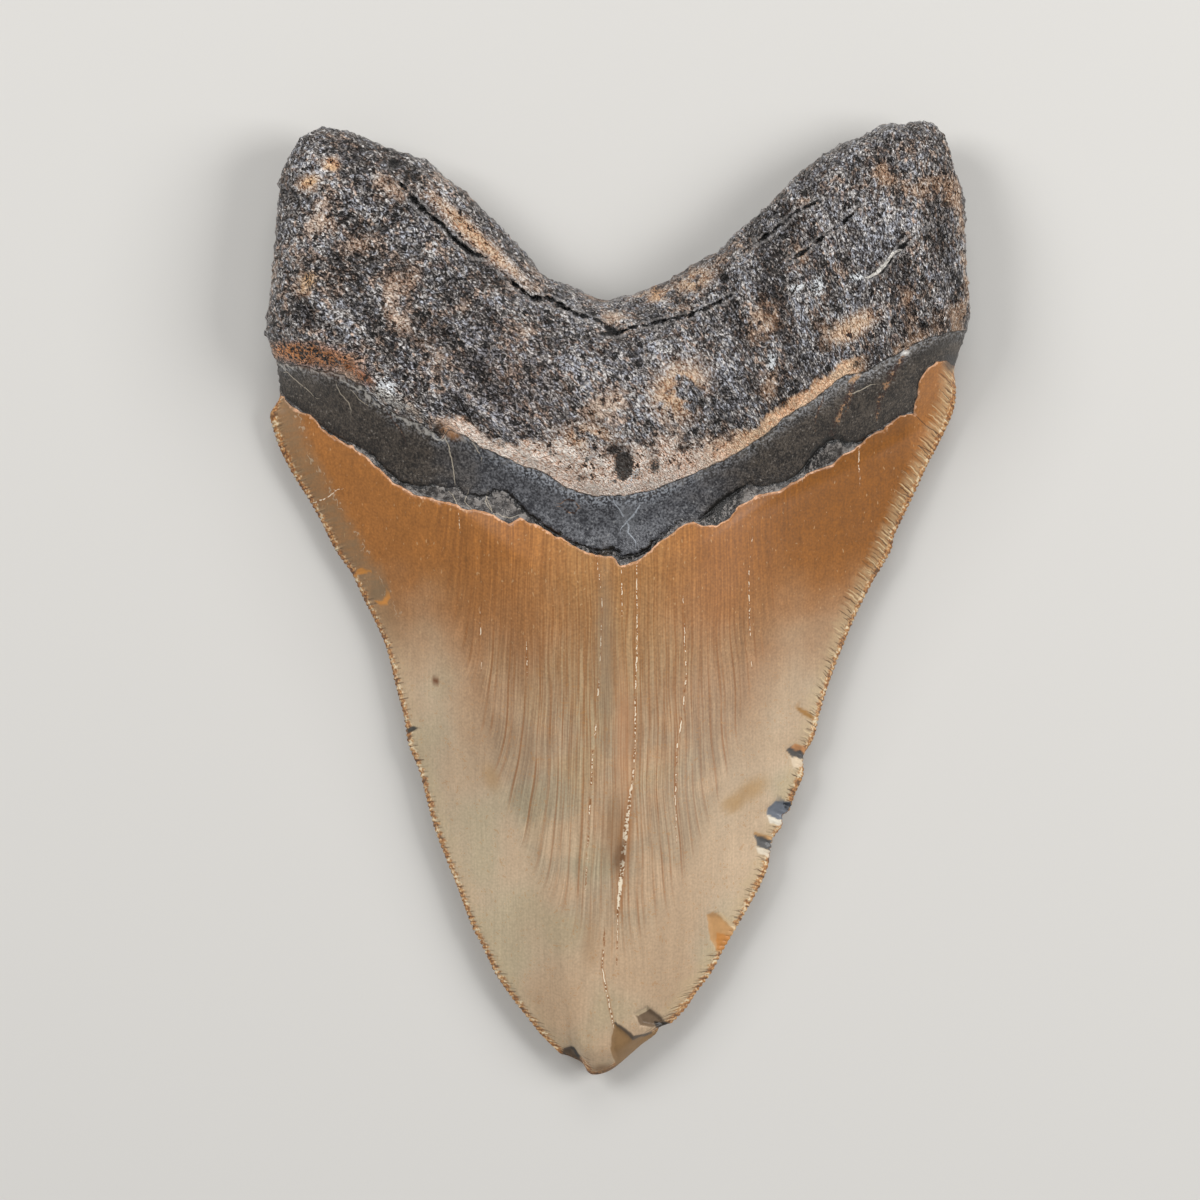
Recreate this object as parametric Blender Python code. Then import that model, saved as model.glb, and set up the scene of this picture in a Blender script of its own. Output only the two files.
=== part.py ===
"""Megalodon tooth, one solid, lying on its flat labial face with the bulging lingual face up.

Metres, +Z up. The tip points to -Y and the two root lobes to +Y. The origin is the middle of the
bounding box in X and Y, on the plane that the tooth rests on.
"""

import bmesh
import bpy
import numpy as np

MM = 0.001

# Outline, as key points in millimetres: x across the tooth, y from the tip up to the root lobes.
LEFT_SIDE = (
    (-8.4, -67.1), (-15.6, -58.7), (-21.5, -48.0), (-26.9, -33.8), (-30.7, -21.6), (-36.3, -2.1),
    (-41.6, 7.3), (-47.3, 17.5), (-51.1, 27.0), (-49.9, 31.5), (-52.0, 39.5), (-50.6, 50.0),
    (-49.6, 58.5), (-48.4, 64.5), (-46.6, 67.6), (-44.6, 69.1),
)
RIGHT_SIDE = (
    (3.4, -65.9), (8.6, -62.0), (14.0, -55.0), (19.7, -44.9), (24.3, -32.5), (27.6, -22.5),
    (31.5, -11.8), (37.6, 2.3), (43.2, 14.1), (47.8, 23.5), (50.2, 32.5), (52.1, 43.6),
    (51.6, 54.5), (50.4, 63.5), (49.0, 67.3), (47.0, 69.4),
)
ROOT_TOP = (
    (-44.6, 69.1), (-42.0, 69.3), (-37.0, 68.0), (-27.6, 64.4), (-19.4, 57.3), (-10.4, 47.8),
    (-2.2, 44.3), (3.8, 45.5), (12.2, 50.3), (23.8, 59.8), (31.3, 66.0), (38.8, 69.8),
    (43.5, 70.3), (47.0, 69.4),
)
TIP = ((-8.4, -67.1), (-5.1, -69.0), (-2.9, -70.3), (-0.7, -69.4), (3.4, -65.9))
SAMPLES_PER_SPAN = 24

# Grid of the two faces: columns run from tip to root, rows run across.
COLUMNS = 36
ROWS = 46
EDGE_CROWDING = 0.55  # 0 spaces the columns evenly, 1 crowds them toward the two sides
ROW_CROWDING = 0.45

# Neck: the V-shaped line where the root turns into the crown.
NECK_Y = 6.5 * MM
NECK_SLOPE = 0.30
NECK_BEND = 3.5  # 1/m, how fast the V opens out toward the shoulders
NECK_BLEND_START = -2.0 * MM
NECK_BLEND = 17.0 * MM
BOURLETTE_HOLLOW = 0.5 * MM
BOURLETTE_MIDDLE = 3.5 * MM
BOURLETTE_SPREAD = 4.0 * MM

# Heights above the resting plane.
ROOT_RIM = 6.8 * MM
CROWN_RIM = 3.0 * MM
TIP_RIM = 3.6 * MM
TIP_TOP = 4.9 * MM
CROWN_TOP = 20.6 * MM
CROWN_SWELL = 0.85
NECK_U = 0.66
LOBE_TOP = 14.6 * MM
BOSS_RISE = 12.6 * MM
BOSS_X = -0.5 * MM
BOSS_Y = 22.5 * MM
BOSS_WIDTH = 33.0 * MM
BOSS_LENGTH = 22.0 * MM
LENS_POWER = 2.2
ROOT_ROUNDING = 10.0 * MM
TIP_ROUNDING_U = 0.05

# Labial face: a shallow hollow that touches the resting plane on three flat pads.
LABIAL_HOLLOW = 1.3 * MM
PAD_DEPTH = 1.9 * MM
PADS = ((-37.0, 52.0, 9.5), (37.5, 53.0, 9.5), (-2.0, -33.0, 13.0))  # x, y, radius in millimetres
TIP_LIFT = 2.3 * MM
TIP_LIFT_FROM_Y = -44.0 * MM
TIP_LIFT_LENGTH = 26.0 * MM

FOSSIL_COLOUR = (0.29, 0.20, 0.12, 1.0)
FOSSIL_ROUGHNESS = 0.45


def clear_scene():
    for item in list(bpy.data.objects):
        bpy.data.objects.remove(item, do_unlink=True)


def smooth_step(value):
    share = np.clip(value, 0.0, 1.0)
    return share * share * (3.0 - 2.0 * share)


def curve_through(points):
    """Catmull-Rom curve through the key points, in metres, as closely spaced points."""
    keys = np.array(points) * MM
    padded = np.vstack([2 * keys[0] - keys[1], keys, 2 * keys[-1] - keys[-2]])
    t = np.linspace(0.0, 1.0, SAMPLES_PER_SPAN, endpoint=False)[:, None]
    spans = []
    for before, start, end, after in zip(padded, padded[1:], padded[2:], padded[3:]):
        linear = end - before
        square = 2 * before - 5 * start + 4 * end - after
        cube = after - before + 3 * (start - end)
        spans.append(start + 0.5 * (linear * t + square * t**2 + cube * t**3))
    return np.vstack([*spans, keys[-1:]])


def along(curve, share):
    """The points at these shares, 0 to 1, of the curve's length."""
    steps = np.linalg.norm(np.diff(curve, axis=0), axis=1)
    length = np.concatenate([[0.0], np.cumsum(steps)])
    place = share * length[-1]
    return np.stack([np.interp(place, length, curve[:, axis]) for axis in (0, 1)], axis=-1)


def crowd(share, amount):
    """Moves evenly spaced shares toward both ends."""
    return (1 - amount) * share + amount * (0.5 - 0.5 * np.cos(np.pi * share))


class Outline:
    """The four border curves, and the patch of points that they enclose."""

    def __init__(self):
        self.left = curve_through(LEFT_SIDE)
        self.right = curve_through(RIGHT_SIDE)
        self.top = curve_through(ROOT_TOP)
        self.tip = curve_through(TIP)
        self.ring = np.vstack([self.left, self.top, self.right[::-1], self.tip[::-1]])

    def patch(self, u, v):
        """Points of the patch: u from the tip to the root's top border, v from left to right."""
        left, right = along(self.left, u), along(self.right, u)
        top, tip = along(self.top, v), along(self.tip, v)
        u, v = u[:, None], v[:, None]
        sides = (1 - v) * left + v * right
        ends = (1 - u) * tip + u * top
        low = (1 - v) * self.left[0] + v * self.right[0]
        high = (1 - v) * self.left[-1] + v * self.right[-1]
        return sides + ends - (1 - u) * low - u * high

    def distance(self, place):
        """Distance from each point to the outline."""
        start = self.ring
        step = np.roll(start, -1, axis=0) - start
        size = np.maximum((step**2).sum(axis=1), 1e-12)
        offset = place[:, None, :] - start[None, :, :]
        share = np.clip((offset * step).sum(axis=2) / size, 0.0, 1.0)
        return np.linalg.norm(offset - share[..., None] * step, axis=2).min(axis=1)


def root_share(x, y):
    """0 on the crown, 1 on the root, with a soft change along the neck."""
    neck = NECK_Y + NECK_SLOPE * np.abs(x) + NECK_BEND * x**2
    return smooth_step((y - neck - NECK_BLEND_START) / NECK_BLEND), y - neck


def rim_height(u, root):
    """Height of the edge where the two faces meet."""
    crown = TIP_RIM + (CROWN_RIM - TIP_RIM) * smooth_step(u / NECK_U)
    return crown + (ROOT_RIM - crown) * root


def fullness(u, v, distance, root):
    """0 on the edge to 1 where a face has its whole height: lens-shaped crown, rounded root."""
    lens = 1.0 - np.abs(2 * v - 1) ** LENS_POWER
    tip = 1.0 - (1.0 - np.clip(u / TIP_ROUNDING_U, 0.0, 1.0)) ** 2
    inward = np.clip(distance / ROOT_ROUNDING, 0.0, 1.0)
    rounded = np.sqrt(1.0 - (1.0 - inward) ** 2)
    return (1 - root) * lens * tip + root * rounded


def lingual_top(u, x, y, root, above_neck):
    """Whole height of the bulging upper face."""
    crown = TIP_TOP + (CROWN_TOP - TIP_TOP) * np.clip(u / NECK_U, 0.0, 1.0) ** CROWN_SWELL
    across = (x - BOSS_X) / BOSS_WIDTH
    down = (y - BOSS_Y) / BOSS_LENGTH
    bulk = LOBE_TOP + BOSS_RISE * np.exp(-(across**2) - down**2)
    hollow = BOURLETTE_HOLLOW * np.exp(-(((above_neck - BOURLETTE_MIDDLE) / BOURLETTE_SPREAD) ** 2))
    return (1 - root) * crown + root * bulk - hollow


def labial_bottom(x, y):
    """Height of the flat lower face: the pads lie on the resting plane."""
    height = np.full_like(x, LABIAL_HOLLOW)
    for pad_x, pad_y, radius in PADS:
        reach = ((x - pad_x * MM) ** 2 + (y - pad_y * MM) ** 2) / (radius * MM) ** 2
        height -= PAD_DEPTH * np.exp(-reach)
    lift = TIP_LIFT * np.clip((TIP_LIFT_FROM_Y - y) / TIP_LIFT_LENGTH, 0.0, 1.0) ** 2
    return np.maximum(height, 0.0) + lift


def face_points(outline, grid, upper):
    """Places of the grid's points on the upper or the lower face."""
    u = crowd(grid[:, 1], ROW_CROWDING)
    v = crowd(grid[:, 0], EDGE_CROWDING)
    place = outline.patch(u, v)
    x, y = place.T
    root, above_neck = root_share(x, y)
    rim = rim_height(u, root)
    full = fullness(u, v, outline.distance(place), root)
    whole = lingual_top(u, x, y, root, above_neck) if upper else labial_bottom(x, y)
    return np.column_stack([x, y, rim + (whole - rim) * full])


def add_face(bm, outline, upper):
    grid = bmesh.ops.create_grid(bm, x_segments=COLUMNS, y_segments=ROWS, size=0.5)["verts"]
    shares = np.array([(vert.co.x + 0.5, vert.co.y + 0.5) for vert in grid])
    for vert, place in zip(grid, face_points(outline, shares, upper)):
        vert.co = place
    if not upper:
        faces = {face for vert in grid for face in vert.link_faces}
        bmesh.ops.reverse_faces(bm, faces=list(faces))


def fossil_material():
    material = bpy.data.materials.new("fossil_tooth")
    material.use_nodes = True
    shader = material.node_tree.nodes["Principled BSDF"]
    shader.inputs["Base Color"].default_value = FOSSIL_COLOUR
    shader.inputs["Roughness"].default_value = FOSSIL_ROUGHNESS
    shader.inputs["Metallic"].default_value = 0.0
    return material


def make_tooth():
    outline = Outline()
    bm = bmesh.new()
    add_face(bm, outline, upper=True)
    add_face(bm, outline, upper=False)
    bmesh.ops.remove_doubles(bm, verts=bm.verts, dist=0.01 * MM)
    corners = np.array([vert.co for vert in bm.verts])
    middle = (corners.min(axis=0) + corners.max(axis=0)) / 2
    bmesh.ops.translate(bm, verts=bm.verts, vec=(-middle[0], -middle[1], 0.0))
    mesh = bpy.data.meshes.new("tooth")
    bm.to_mesh(mesh)
    bm.free()
    mesh.shade_smooth()
    mesh.materials.append(fossil_material())
    tooth = bpy.data.objects.new("tooth", mesh)
    bpy.context.scene.collection.objects.link(tooth)


clear_scene()
make_tooth()
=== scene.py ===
import math
import bmesh
import bpy
import numpy as np
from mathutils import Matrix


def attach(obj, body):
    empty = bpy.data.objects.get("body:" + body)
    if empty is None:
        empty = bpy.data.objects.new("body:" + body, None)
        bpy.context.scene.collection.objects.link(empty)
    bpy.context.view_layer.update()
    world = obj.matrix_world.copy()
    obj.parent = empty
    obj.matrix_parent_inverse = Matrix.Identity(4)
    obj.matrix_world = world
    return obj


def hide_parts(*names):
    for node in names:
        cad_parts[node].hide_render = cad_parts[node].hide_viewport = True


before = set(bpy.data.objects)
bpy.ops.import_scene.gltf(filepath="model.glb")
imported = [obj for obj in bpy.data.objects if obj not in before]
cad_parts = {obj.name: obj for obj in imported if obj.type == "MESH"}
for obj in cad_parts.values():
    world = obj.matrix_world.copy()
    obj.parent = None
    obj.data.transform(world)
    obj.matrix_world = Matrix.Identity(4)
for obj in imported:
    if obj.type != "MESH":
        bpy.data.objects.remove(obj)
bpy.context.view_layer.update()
mm = 0.001
farAway = 99.0   # mm, for what isn't there on the labial face

# Places in the tooth's own plane are in millimetres: x across, y from the tip (-) to the root (+).

toothForm = dict(
    columns=122, rows=162,
    sideCrowding=0.45, endCrowding=0.30,   # 0 is even spacing, 1 gathers the lines at the borders
    evenSamples=240, evenPasses=90,   # smoothing of the borders that the faces are stretched between
    neckY=6.5, neckSlope=0.30, neckBend=0.0035, neckStart=-2.0, neckBlend=17.0,
    rootRim=6.8, crownRim=3.0, tipRim=3.6, tipTop=4.9,
    crownTop=20.6, crownSwell=0.85, neckU=0.66,
    lobeTop=14.6, bossRise=12.1, bossX=-0.5, bossY=22.5, bossWidth=33.0, bossLength=22.0,
    lensPower=2.2, rootRounding=10.0, tipRoundingU=0.05,
    bourletteHollow=0.5, bourletteMiddle=3.5, bourletteSpread=4.0,
    labialHollow=1.3, padDepth=1.9, tipLift=2.3, tipLiftFrom=-44.0, tipLiftLength=26.0,
    pads=((-37.0, 52.0, 9.5), (37.5, 53.0, 9.5), (-2.0, -33.0, 13.0)),
)

leftSide = (
    (-8.4, -67.1), (-9.1, -66.4), (-11.2, -64.3), (-13.4, -61.5), (-15.6, -58.7), (-17.9, -55.3),
    (-19.8, -51.3), (-21.5, -48.0), (-23.7, -42.1), (-25.3, -38.1), (-26.9, -33.8), (-28.2, -29.0),
    (-29.1, -25.5), (-30.7, -21.6), (-31.3, -17.8), (-32.4, -13.7), (-32.9, -11.5), (-33.8, -8.0),
    (-34.8, -5.2), (-36.3, -2.1), (-37.8, 0.9), (-39.2, 3.9), (-41.6, 7.3), (-43.8, 11.7),
    (-45.3, 14.4), (-47.3, 17.5), (-48.7, 20.0), (-49.8, 22.3), (-50.9, 25.7), (-51.2, 27.3),
    (-49.9, 29.5), (-49.8, 30.8), (-50.4, 35.1), (-52.0, 39.5), (-51.4, 43.2), (-50.9, 46.3),
    (-50.6, 51.6), (-49.8, 60.5), (-48.8, 64.5), (-46.7, 67.4),
)
rightSide = (
    (3.4, -65.9), (5.6, -64.3), (6.4, -63.1), (8.1, -62.5), (8.8, -61.8), (10.3, -60.2),
    (11.9, -57.8), (14.0, -55.0), (15.6, -51.9), (17.9, -48.0), (19.7, -44.9), (21.2, -42.1),
    (22.3, -39.3), (22.9, -35.6), (24.3, -33.6), (24.4, -32.0), (25.4, -31.2), (26.3, -28.7),
    (27.5, -26.0), (27.5, -23.2), (29.0, -20.6), (30.0, -16.5), (31.5, -11.8), (33.4, -6.8),
    (35.4, -2.1), (37.6, 2.3), (40.3, 6.9), (41.0, 9.5), (43.2, 14.1), (45.1, 18.2),
    (46.3, 20.7), (47.8, 23.5), (49.7, 27.9), (50.0, 31.3), (49.8, 34.2), (51.4, 38.8),
    (52.1, 43.6), (51.7, 47.0), (51.4, 53.8), (51.2, 59.4), (49.8, 62.7), (49.1, 66.1),
)
rootTop = (
    (-46.7, 67.4), (-45.1, 68.9), (-42.6, 69.5), (-39.2, 68.8), (-37.0, 68.0), (-34.4, 66.9),
    (-31.5, 65.8), (-27.6, 64.4), (-25.4, 62.3), (-22.8, 60.5), (-19.4, 57.3), (-16.5, 54.2),
    (-13.1, 50.8), (-10.4, 47.6), (-6.3, 46.0), (-2.2, 44.2), (1.2, 44.7), (3.8, 45.5),
    (6.9, 46.7), (9.6, 48.3), (12.2, 50.1), (15.4, 51.7), (17.3, 54.0), (20.4, 56.3),
    (23.8, 59.8), (26.3, 62.4), (29.0, 64.5), (31.3, 66.0), (33.5, 67.3), (36.5, 68.5),
    (38.8, 69.8), (42.5, 70.2), (45.6, 70.3), (47.8, 68.9), (49.1, 66.1),
)
tipEnd = (
    (-8.4, -67.1), (-7.0, -67.5), (-5.1, -68.5), (-4.2, -69.9), (-2.9, -70.2), (-0.7, -69.4),
    (2.1, -67.1), (3.4, -65.9),
)


def throughPoints(points, steps=12):
    # Catmull-Rom curve through the points
    keys = np.array(points, float)
    padded = np.vstack([2 * keys[0] - keys[1], keys, 2 * keys[-1] - keys[-2]])
    t = np.linspace(0, 1, steps, endpoint=False)[:, None]
    spans = []
    for before, start, end, after in zip(padded, padded[1:], padded[2:], padded[3:]):
        linear = end - before
        square = 2 * before - 5 * start + 4 * end - after
        cube = after - before + 3 * (start - end)
        spans.append(start + 0.5 * (linear * t + square * t**2 + cube * t**3))
    return np.vstack([*spans, keys[-1:]])


def lengthsOf(path):
    steps = np.linalg.norm(np.diff(path, axis=0), axis=1)
    return np.concatenate([[0], np.cumsum(steps)])


def along(path, share):
    # points at these shares of the path's length
    length = lengthsOf(path)
    place = share * length[-1]
    return np.stack([np.interp(place, length, path[:, axis]) for axis in (0, 1)], axis=-1)


def smoothStep(value):
    share = np.clip(value, 0, 1)
    return share * share * (3 - 2 * share)


def gather(share, amount):
    return (1 - amount) * share + amount * (0.5 - 0.5 * np.cos(np.pi * share))


def distanceTo(path, place, closed=False):
    # distance in mm from each place to the path, and the share of the path's length there
    start = path if closed else path[:-1]
    step = (np.roll(path, -1, axis=0) if closed else path[1:]) - start
    size = np.maximum((step**2).sum(axis=1), 1e-9)
    nearest = np.full(len(place), 1e9)
    share = np.zeros(len(place))
    length = lengthsOf(path)
    for index in range(len(start)):
        offset = place - start[index]
        part = np.clip((offset @ step[index]) / size[index], 0, 1)
        distance = np.hypot(*(offset - part[:, None] * step[index]).T)
        closer = distance < nearest
        nearest[closer] = distance[closer]
        run = length[index] + part[closer] * math.sqrt(size[index])
        share[closer] = run / length[-1]
    return nearest, share


def evened(path):
    # the same path without its chips and jogs
    points = along(path, np.linspace(0, 1, toothForm["evenSamples"]))
    for _ in range(toothForm["evenPasses"]):
        points[1:-1] = 0.25 * points[:-2] + 0.5 * points[1:-1] + 0.25 * points[2:]
    return points


leftWorn, rightWorn, topWorn = (throughPoints(points) for points in (leftSide, rightSide, rootTop))
leftPath, rightPath, topPath = (evened(path) for path in (leftWorn, rightWorn, topWorn))
tipPath = throughPoints(tipEnd)
ringPath = np.vstack([leftPath, topPath, rightPath[::-1], tipPath[::-1]])[::2]


def patchPlace(u, v):
    # u runs from the tip to the root's top border, v from the left side to the right
    left, right = along(leftPath, u), along(rightPath, u)
    top, tip = along(topPath, v), along(tipPath, v)
    u, v = u[:, None], v[:, None]
    sides = (1 - v) * left + v * right
    ends = (1 - u) * tip + u * top
    low = (1 - v) * leftPath[0] + v * rightPath[0]
    high = (1 - v) * leftPath[-1] + v * rightPath[-1]
    return sides + ends - (1 - u) * low - u * high


def sharesOf(points):
    # grid place (-0.5 to 0.5) to the shares u and v
    u = gather(points[:, 1] + 0.5, toothForm["endCrowding"])
    v = gather(points[:, 0] + 0.5, toothForm["sideCrowding"])
    return u, v


def neckOf(x):
    form = toothForm
    return form["neckY"] + form["neckSlope"] * np.abs(x) + form["neckBend"] * x**2


def toothHeight(u, v, x, y, distance, upper):
    # height in mm of the smooth tooth, before any wear
    form = toothForm
    aboveNeck = y - neckOf(x)
    root = smoothStep((aboveNeck - form["neckStart"]) / form["neckBlend"])
    crownRim = form["tipRim"] + (form["crownRim"] - form["tipRim"]) * smoothStep(u / form["neckU"])
    rim = crownRim + (form["rootRim"] - crownRim) * root
    lens = 1 - np.abs(2 * v - 1) ** form["lensPower"]
    tip = 1 - (1 - np.clip(u / form["tipRoundingU"], 0, 1)) ** 2
    inward = np.clip(distance / form["rootRounding"], 0, 1)
    full = (1 - root) * lens * tip + root * np.sqrt(1 - (1 - inward) ** 2)
    if upper:
        rise = np.clip(u / form["neckU"], 0, 1) ** form["crownSwell"]
        crown = form["tipTop"] + (form["crownTop"] - form["tipTop"]) * rise
        across = (x - form["bossX"]) / form["bossWidth"]
        down = (y - form["bossY"]) / form["bossLength"]
        bulk = form["lobeTop"] + form["bossRise"] * np.exp(-(across**2) - down**2)
        offset = (aboveNeck - form["bourletteMiddle"]) / form["bourletteSpread"]
        whole = (1 - root) * crown + root * bulk - form["bourletteHollow"] * np.exp(-(offset**2))
    else:
        whole = np.full_like(x, form["labialHollow"])
        for padX, padY, radius in form["pads"]:
            whole -= form["padDepth"] * np.exp(-((x - padX) ** 2 + (y - padY) ** 2) / radius**2)
        lift = np.clip((form["tipLiftFrom"] - y) / form["tipLiftLength"], 0, 1) ** 2
        whole = np.maximum(whole, 0) + form["tipLift"] * lift
    return rim + (whole - rim) * full


def pointsOf(mesh):
    flat = np.empty(len(mesh.vertices) * 3)
    mesh.vertices.foreach_get("co", flat)
    return flat.reshape(-1, 3)


def movePoints(mesh, points):
    mesh.vertices.foreach_set("co", points.ravel())
    mesh.update()


def putValues(mesh, name, values):
    layer = mesh.attributes.get(name) or mesh.attributes.new(name, "FLOAT", "POINT")
    layer.data.foreach_set("value", values.astype(np.float32))


def putColours(mesh, name, colours):
    layer = mesh.attributes.get(name) or mesh.attributes.new(name, "FLOAT_COLOR", "POINT")
    layer.data.foreach_set("color", colours.astype(np.float32).ravel())


def valuesOf(mesh, name):
    flat = np.empty(len(mesh.vertices), np.float32)
    mesh.attributes[name].data.foreach_get("value", flat)
    return flat.astype(float)


def onlyActive(piece):
    bpy.ops.object.select_all(action="DESELECT")
    piece.select_set(True)
    bpy.context.view_layer.objects.active = piece


def addSheet(name):
    bpy.ops.object.select_all(action="DESELECT")
    bpy.ops.mesh.primitive_grid_add(
        x_subdivisions=toothForm["columns"], y_subdivisions=toothForm["rows"], size=1)
    sheet = bpy.context.object
    sheet.name = name
    return sheet


def centresOf(items):
    # middle of each face or edge on the grid, as u, v and the place in mm
    flat = np.array([sum((vert.co for vert in item.verts), item.verts[0].co * 0) / len(item.verts)
                     for item in items])
    u, v = sharesOf(flat)
    return u, v, patchPlace(u, v)


def refineFaces(sheet, wanted, cuts=1):
    # subdivides the faces whose middle is wanted
    onlyActive(sheet)
    bpy.ops.object.mode_set(mode="EDIT")
    bpy.ops.mesh.select_mode(type="FACE")
    bpy.ops.mesh.select_all(action="DESELECT")
    bm = bmesh.from_edit_mesh(sheet.data)
    faces = list(bm.faces)
    for face, chosen in zip(faces, wanted(*centresOf(faces))):
        face.select = bool(chosen)
    bmesh.update_edit_mesh(sheet.data)
    bpy.ops.mesh.subdivide(number_cuts=cuts, ngon=False)
    bpy.ops.object.mode_set(mode="OBJECT")


def refineRows(sheet, wanted, cuts):
    # cuts only the edges that run from tip to root, so that the rows get closer there
    onlyActive(sheet)
    bpy.ops.object.mode_set(mode="EDIT")
    bpy.ops.mesh.select_mode(type="EDGE")
    bpy.ops.mesh.select_all(action="DESELECT")
    bm = bmesh.from_edit_mesh(sheet.data)
    edges = [edge for edge in bm.edges if abs(edge.verts[0].co.x - edge.verts[1].co.x) < 1e-6]
    for edge, chosen in zip(edges, wanted(*centresOf(edges))):
        edge.select = bool(chosen)
    bmesh.update_edit_mesh(sheet.data)
    bpy.ops.mesh.subdivide(number_cuts=cuts, ngon=False)
    bpy.ops.object.mode_set(mode="OBJECT")


print("sheets")
lingualSheet = addSheet("lingualSheet")
labialSheet = addSheet("labialSheet")


wear = dict(
    chipReach=2.2,
    serrationPitch=0.78, serrationDepth=0.30, serrationReach=0.9, serrationGroove=0.13,
    leftShoulderY=27.5, rightShoulderY=33.5, tipEndY=-66.0,
    enamelStep=0.38, enamelStepWidth=0.35, enamelRagged=0.22,
    breakDepth=0.4, breakRagged=0.15, rootStep=0.25, rootStepWidth=1.4, roughFrom=0.1, roughBlend=1.1,
    swellSize=9.0, swellHeight=0.45, lumpSize=3.6, lumpHeight=0.28,
    gullyWidth=1.9, gullyLength=7.0, gullyHeight=0.48, grooveWidth=0.9, grooveLength=3.6, grooveHeight=0.22,
    strokesFrom=(60.0, -40.0), strokeReach=95.0,
    rootCrackDepth=0.8, rootCrackWidth=0.15, rootCrackRagged=0.16, rootCrackSlump=0.16, slumpReach=1.6,
    poreCount=420, poreSize=(0.35, 0.85), poreDepth=(0.25, 0.7), poreSeed=5,
    rimFade=1.2, thinnest=0.8, thinnestFrom=1.5,
    outlineSoftness=0.22, flakeSlope=0.9, stainRagged=0.14, crispBelow=0.5,
)
# where the sheets get finer: shares from a border, or mm from a line
fineZones = dict(
    cuttingEdge=0.022, cuttingEdgeTo=0.75, belowNeck=2.5, rootRim=0.02, rootRimTop=0.015,
    rootCrack=0.6, enamelLine=0.42, flake=0.3, stain=0.7,
)


def oval(x, y, halfLength, halfWidth, turn=0, soft=0.3, **finish):
    # a round mark: its middle and half sizes in mm, and the degrees that its long axis is turned
    return dict(oval=(x, y, halfLength, halfWidth, turn, soft), **finish)


def outline(*points, **finish):
    return dict(points=points, **finish)


def hairline(width, *points, whole=1.0, across=False):
    # a painted crack: half width in mm, points, the share that isn't broken out, and whether it runs sideways
    return dict(points=points, width=width, whole=whole, across=across)


# upper border of the enamel on the lingual face
enamelTop = (
    (-53.5, 31.2), (-52.2, 31.0), (-49.2, 29.7), (-47.2, 28.0), (-44.5, 26.6), (-43.4, 25.1),
    (-40.7, 23.3), (-37.8, 21.7), (-35.6, 19.7), (-32.9, 17.2), (-29.1, 15.1), (-26.2, 14.5),
    (-23.5, 13.6), (-20.9, 12.9), (-17.9, 12.2), (-15.7, 11.0), (-14.1, 11.7), (-12.3, 11.0),
    (-10.4, 10.0), (-8.2, 8.8), (-5.9, 7.5), (-3.2, 6.2), (-0.7, 6.4), (0.3, 4.7), (2.8, 5.4),
    (4.3, 6.6), (6.9, 8.8), (9.6, 10.8), (11.0, 11.3), (12.5, 10.6), (14.4, 10.7), (16.3, 11.6),
    (17.3, 13.1), (20.0, 14.8), (23.8, 15.8), (26.3, 17.5), (28.7, 18.6), (31.3, 19.7),
    (33.1, 21.1), (35.4, 22.3), (37.2, 23.9), (39.1, 24.7), (40.3, 26.1), (42.5, 27.1),
    (43.6, 26.9), (43.8, 28.6), (44.1, 31.6), (45.4, 33.9), (47.8, 35.0), (50.4, 34.3),
    (53.5, 34.0),
)
# dark crack where the enamel's edge broke away from the bourlette, and its half width along x
breakLine = (
    (-53.2, 33.3), (-49.4, 30.1), (-46.5, 28.0), (-43.8, 25.7), (-42.0, 24.1), (-40.7, 23.4),
    (-38.8, 22.9), (-37.2, 22.0), (-35.7, 21.0), (-34.4, 19.4), (-33.1, 18.3), (-31.5, 17.0),
    (-30.0, 16.6), (-28.5, 16.4), (-27.0, 16.6), (-25.9, 16.4), (-24.0, 16.1), (-23.0, 16.3),
    (-22.2, 15.1), (-20.9, 15.0), (-20.1, 14.7), (-18.8, 15.0), (-17.8, 15.6), (-16.7, 15.8),
    (-15.6, 15.1), (-14.6, 13.8), (-13.5, 12.7), (-12.5, 11.9), (-11.2, 11.1), (-10.1, 10.1),
    (-9.1, 9.4), (-7.5, 8.6), (-5.9, 7.8), (-4.3, 7.3), (-3.3, 6.9), (-1.8, 6.8), (-0.4, 7.0),
    (0.6, 6.2), (1.9, 6.1), (3.2, 6.5), (4.6, 7.2), (5.6, 8.5), (6.9, 9.5), (9.3, 11.2),
    (12.1, 11.4), (13.8, 12.9), (15.6, 14.4), (17.7, 15.8), (19.3, 16.7), (20.7, 16.2),
    (22.5, 16.6), (24.9, 17.2), (27.0, 18.7), (27.9, 20.0), (29.1, 21.6), (30.6, 23.0),
    (32.4, 23.3), (33.1, 22.8), (35.7, 22.9), (36.6, 23.9), (37.8, 24.5), (40.1, 26.2),
    (42.3, 27.2), (43.7, 27.6), (53.5, 31.8),
)
breakWidths = (
    (-52.2, 0.02), (-44.0, 0.08), (-41.5, 0.24), (-38.8, 0.18), (-34.8, 0.24), (-31.5, 0.28),
    (-29.0, 0.28), (-27.0, 0.16), (-24.0, 0.14), (-22.2, 0.20), (-20.1, 0.24), (-16.8, 0.12),
    (-15.6, 0.30), (-11.2, 0.34), (-9.1, 0.38), (-5.9, 0.26), (-4.0, 0.30), (-1.8, 0.42),
    (0.4, 0.42), (3.4, 0.45), (5.6, 0.32), (6.9, 0.14), (9.3, 0.08), (11.5, 0.14), (12.9, 0.50),
    (15.6, 0.75), (17.6, 0.38), (19.3, 0.15), (20.7, 0.20), (22.5, 0.12), (26.9, 0.30),
    (27.9, 0.50), (30.6, 0.45), (33.1, 0.40), (35.7, 0.28), (37.8, 0.14), (40.1, 0.05),
    (44.1, 0.02),
)
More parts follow.
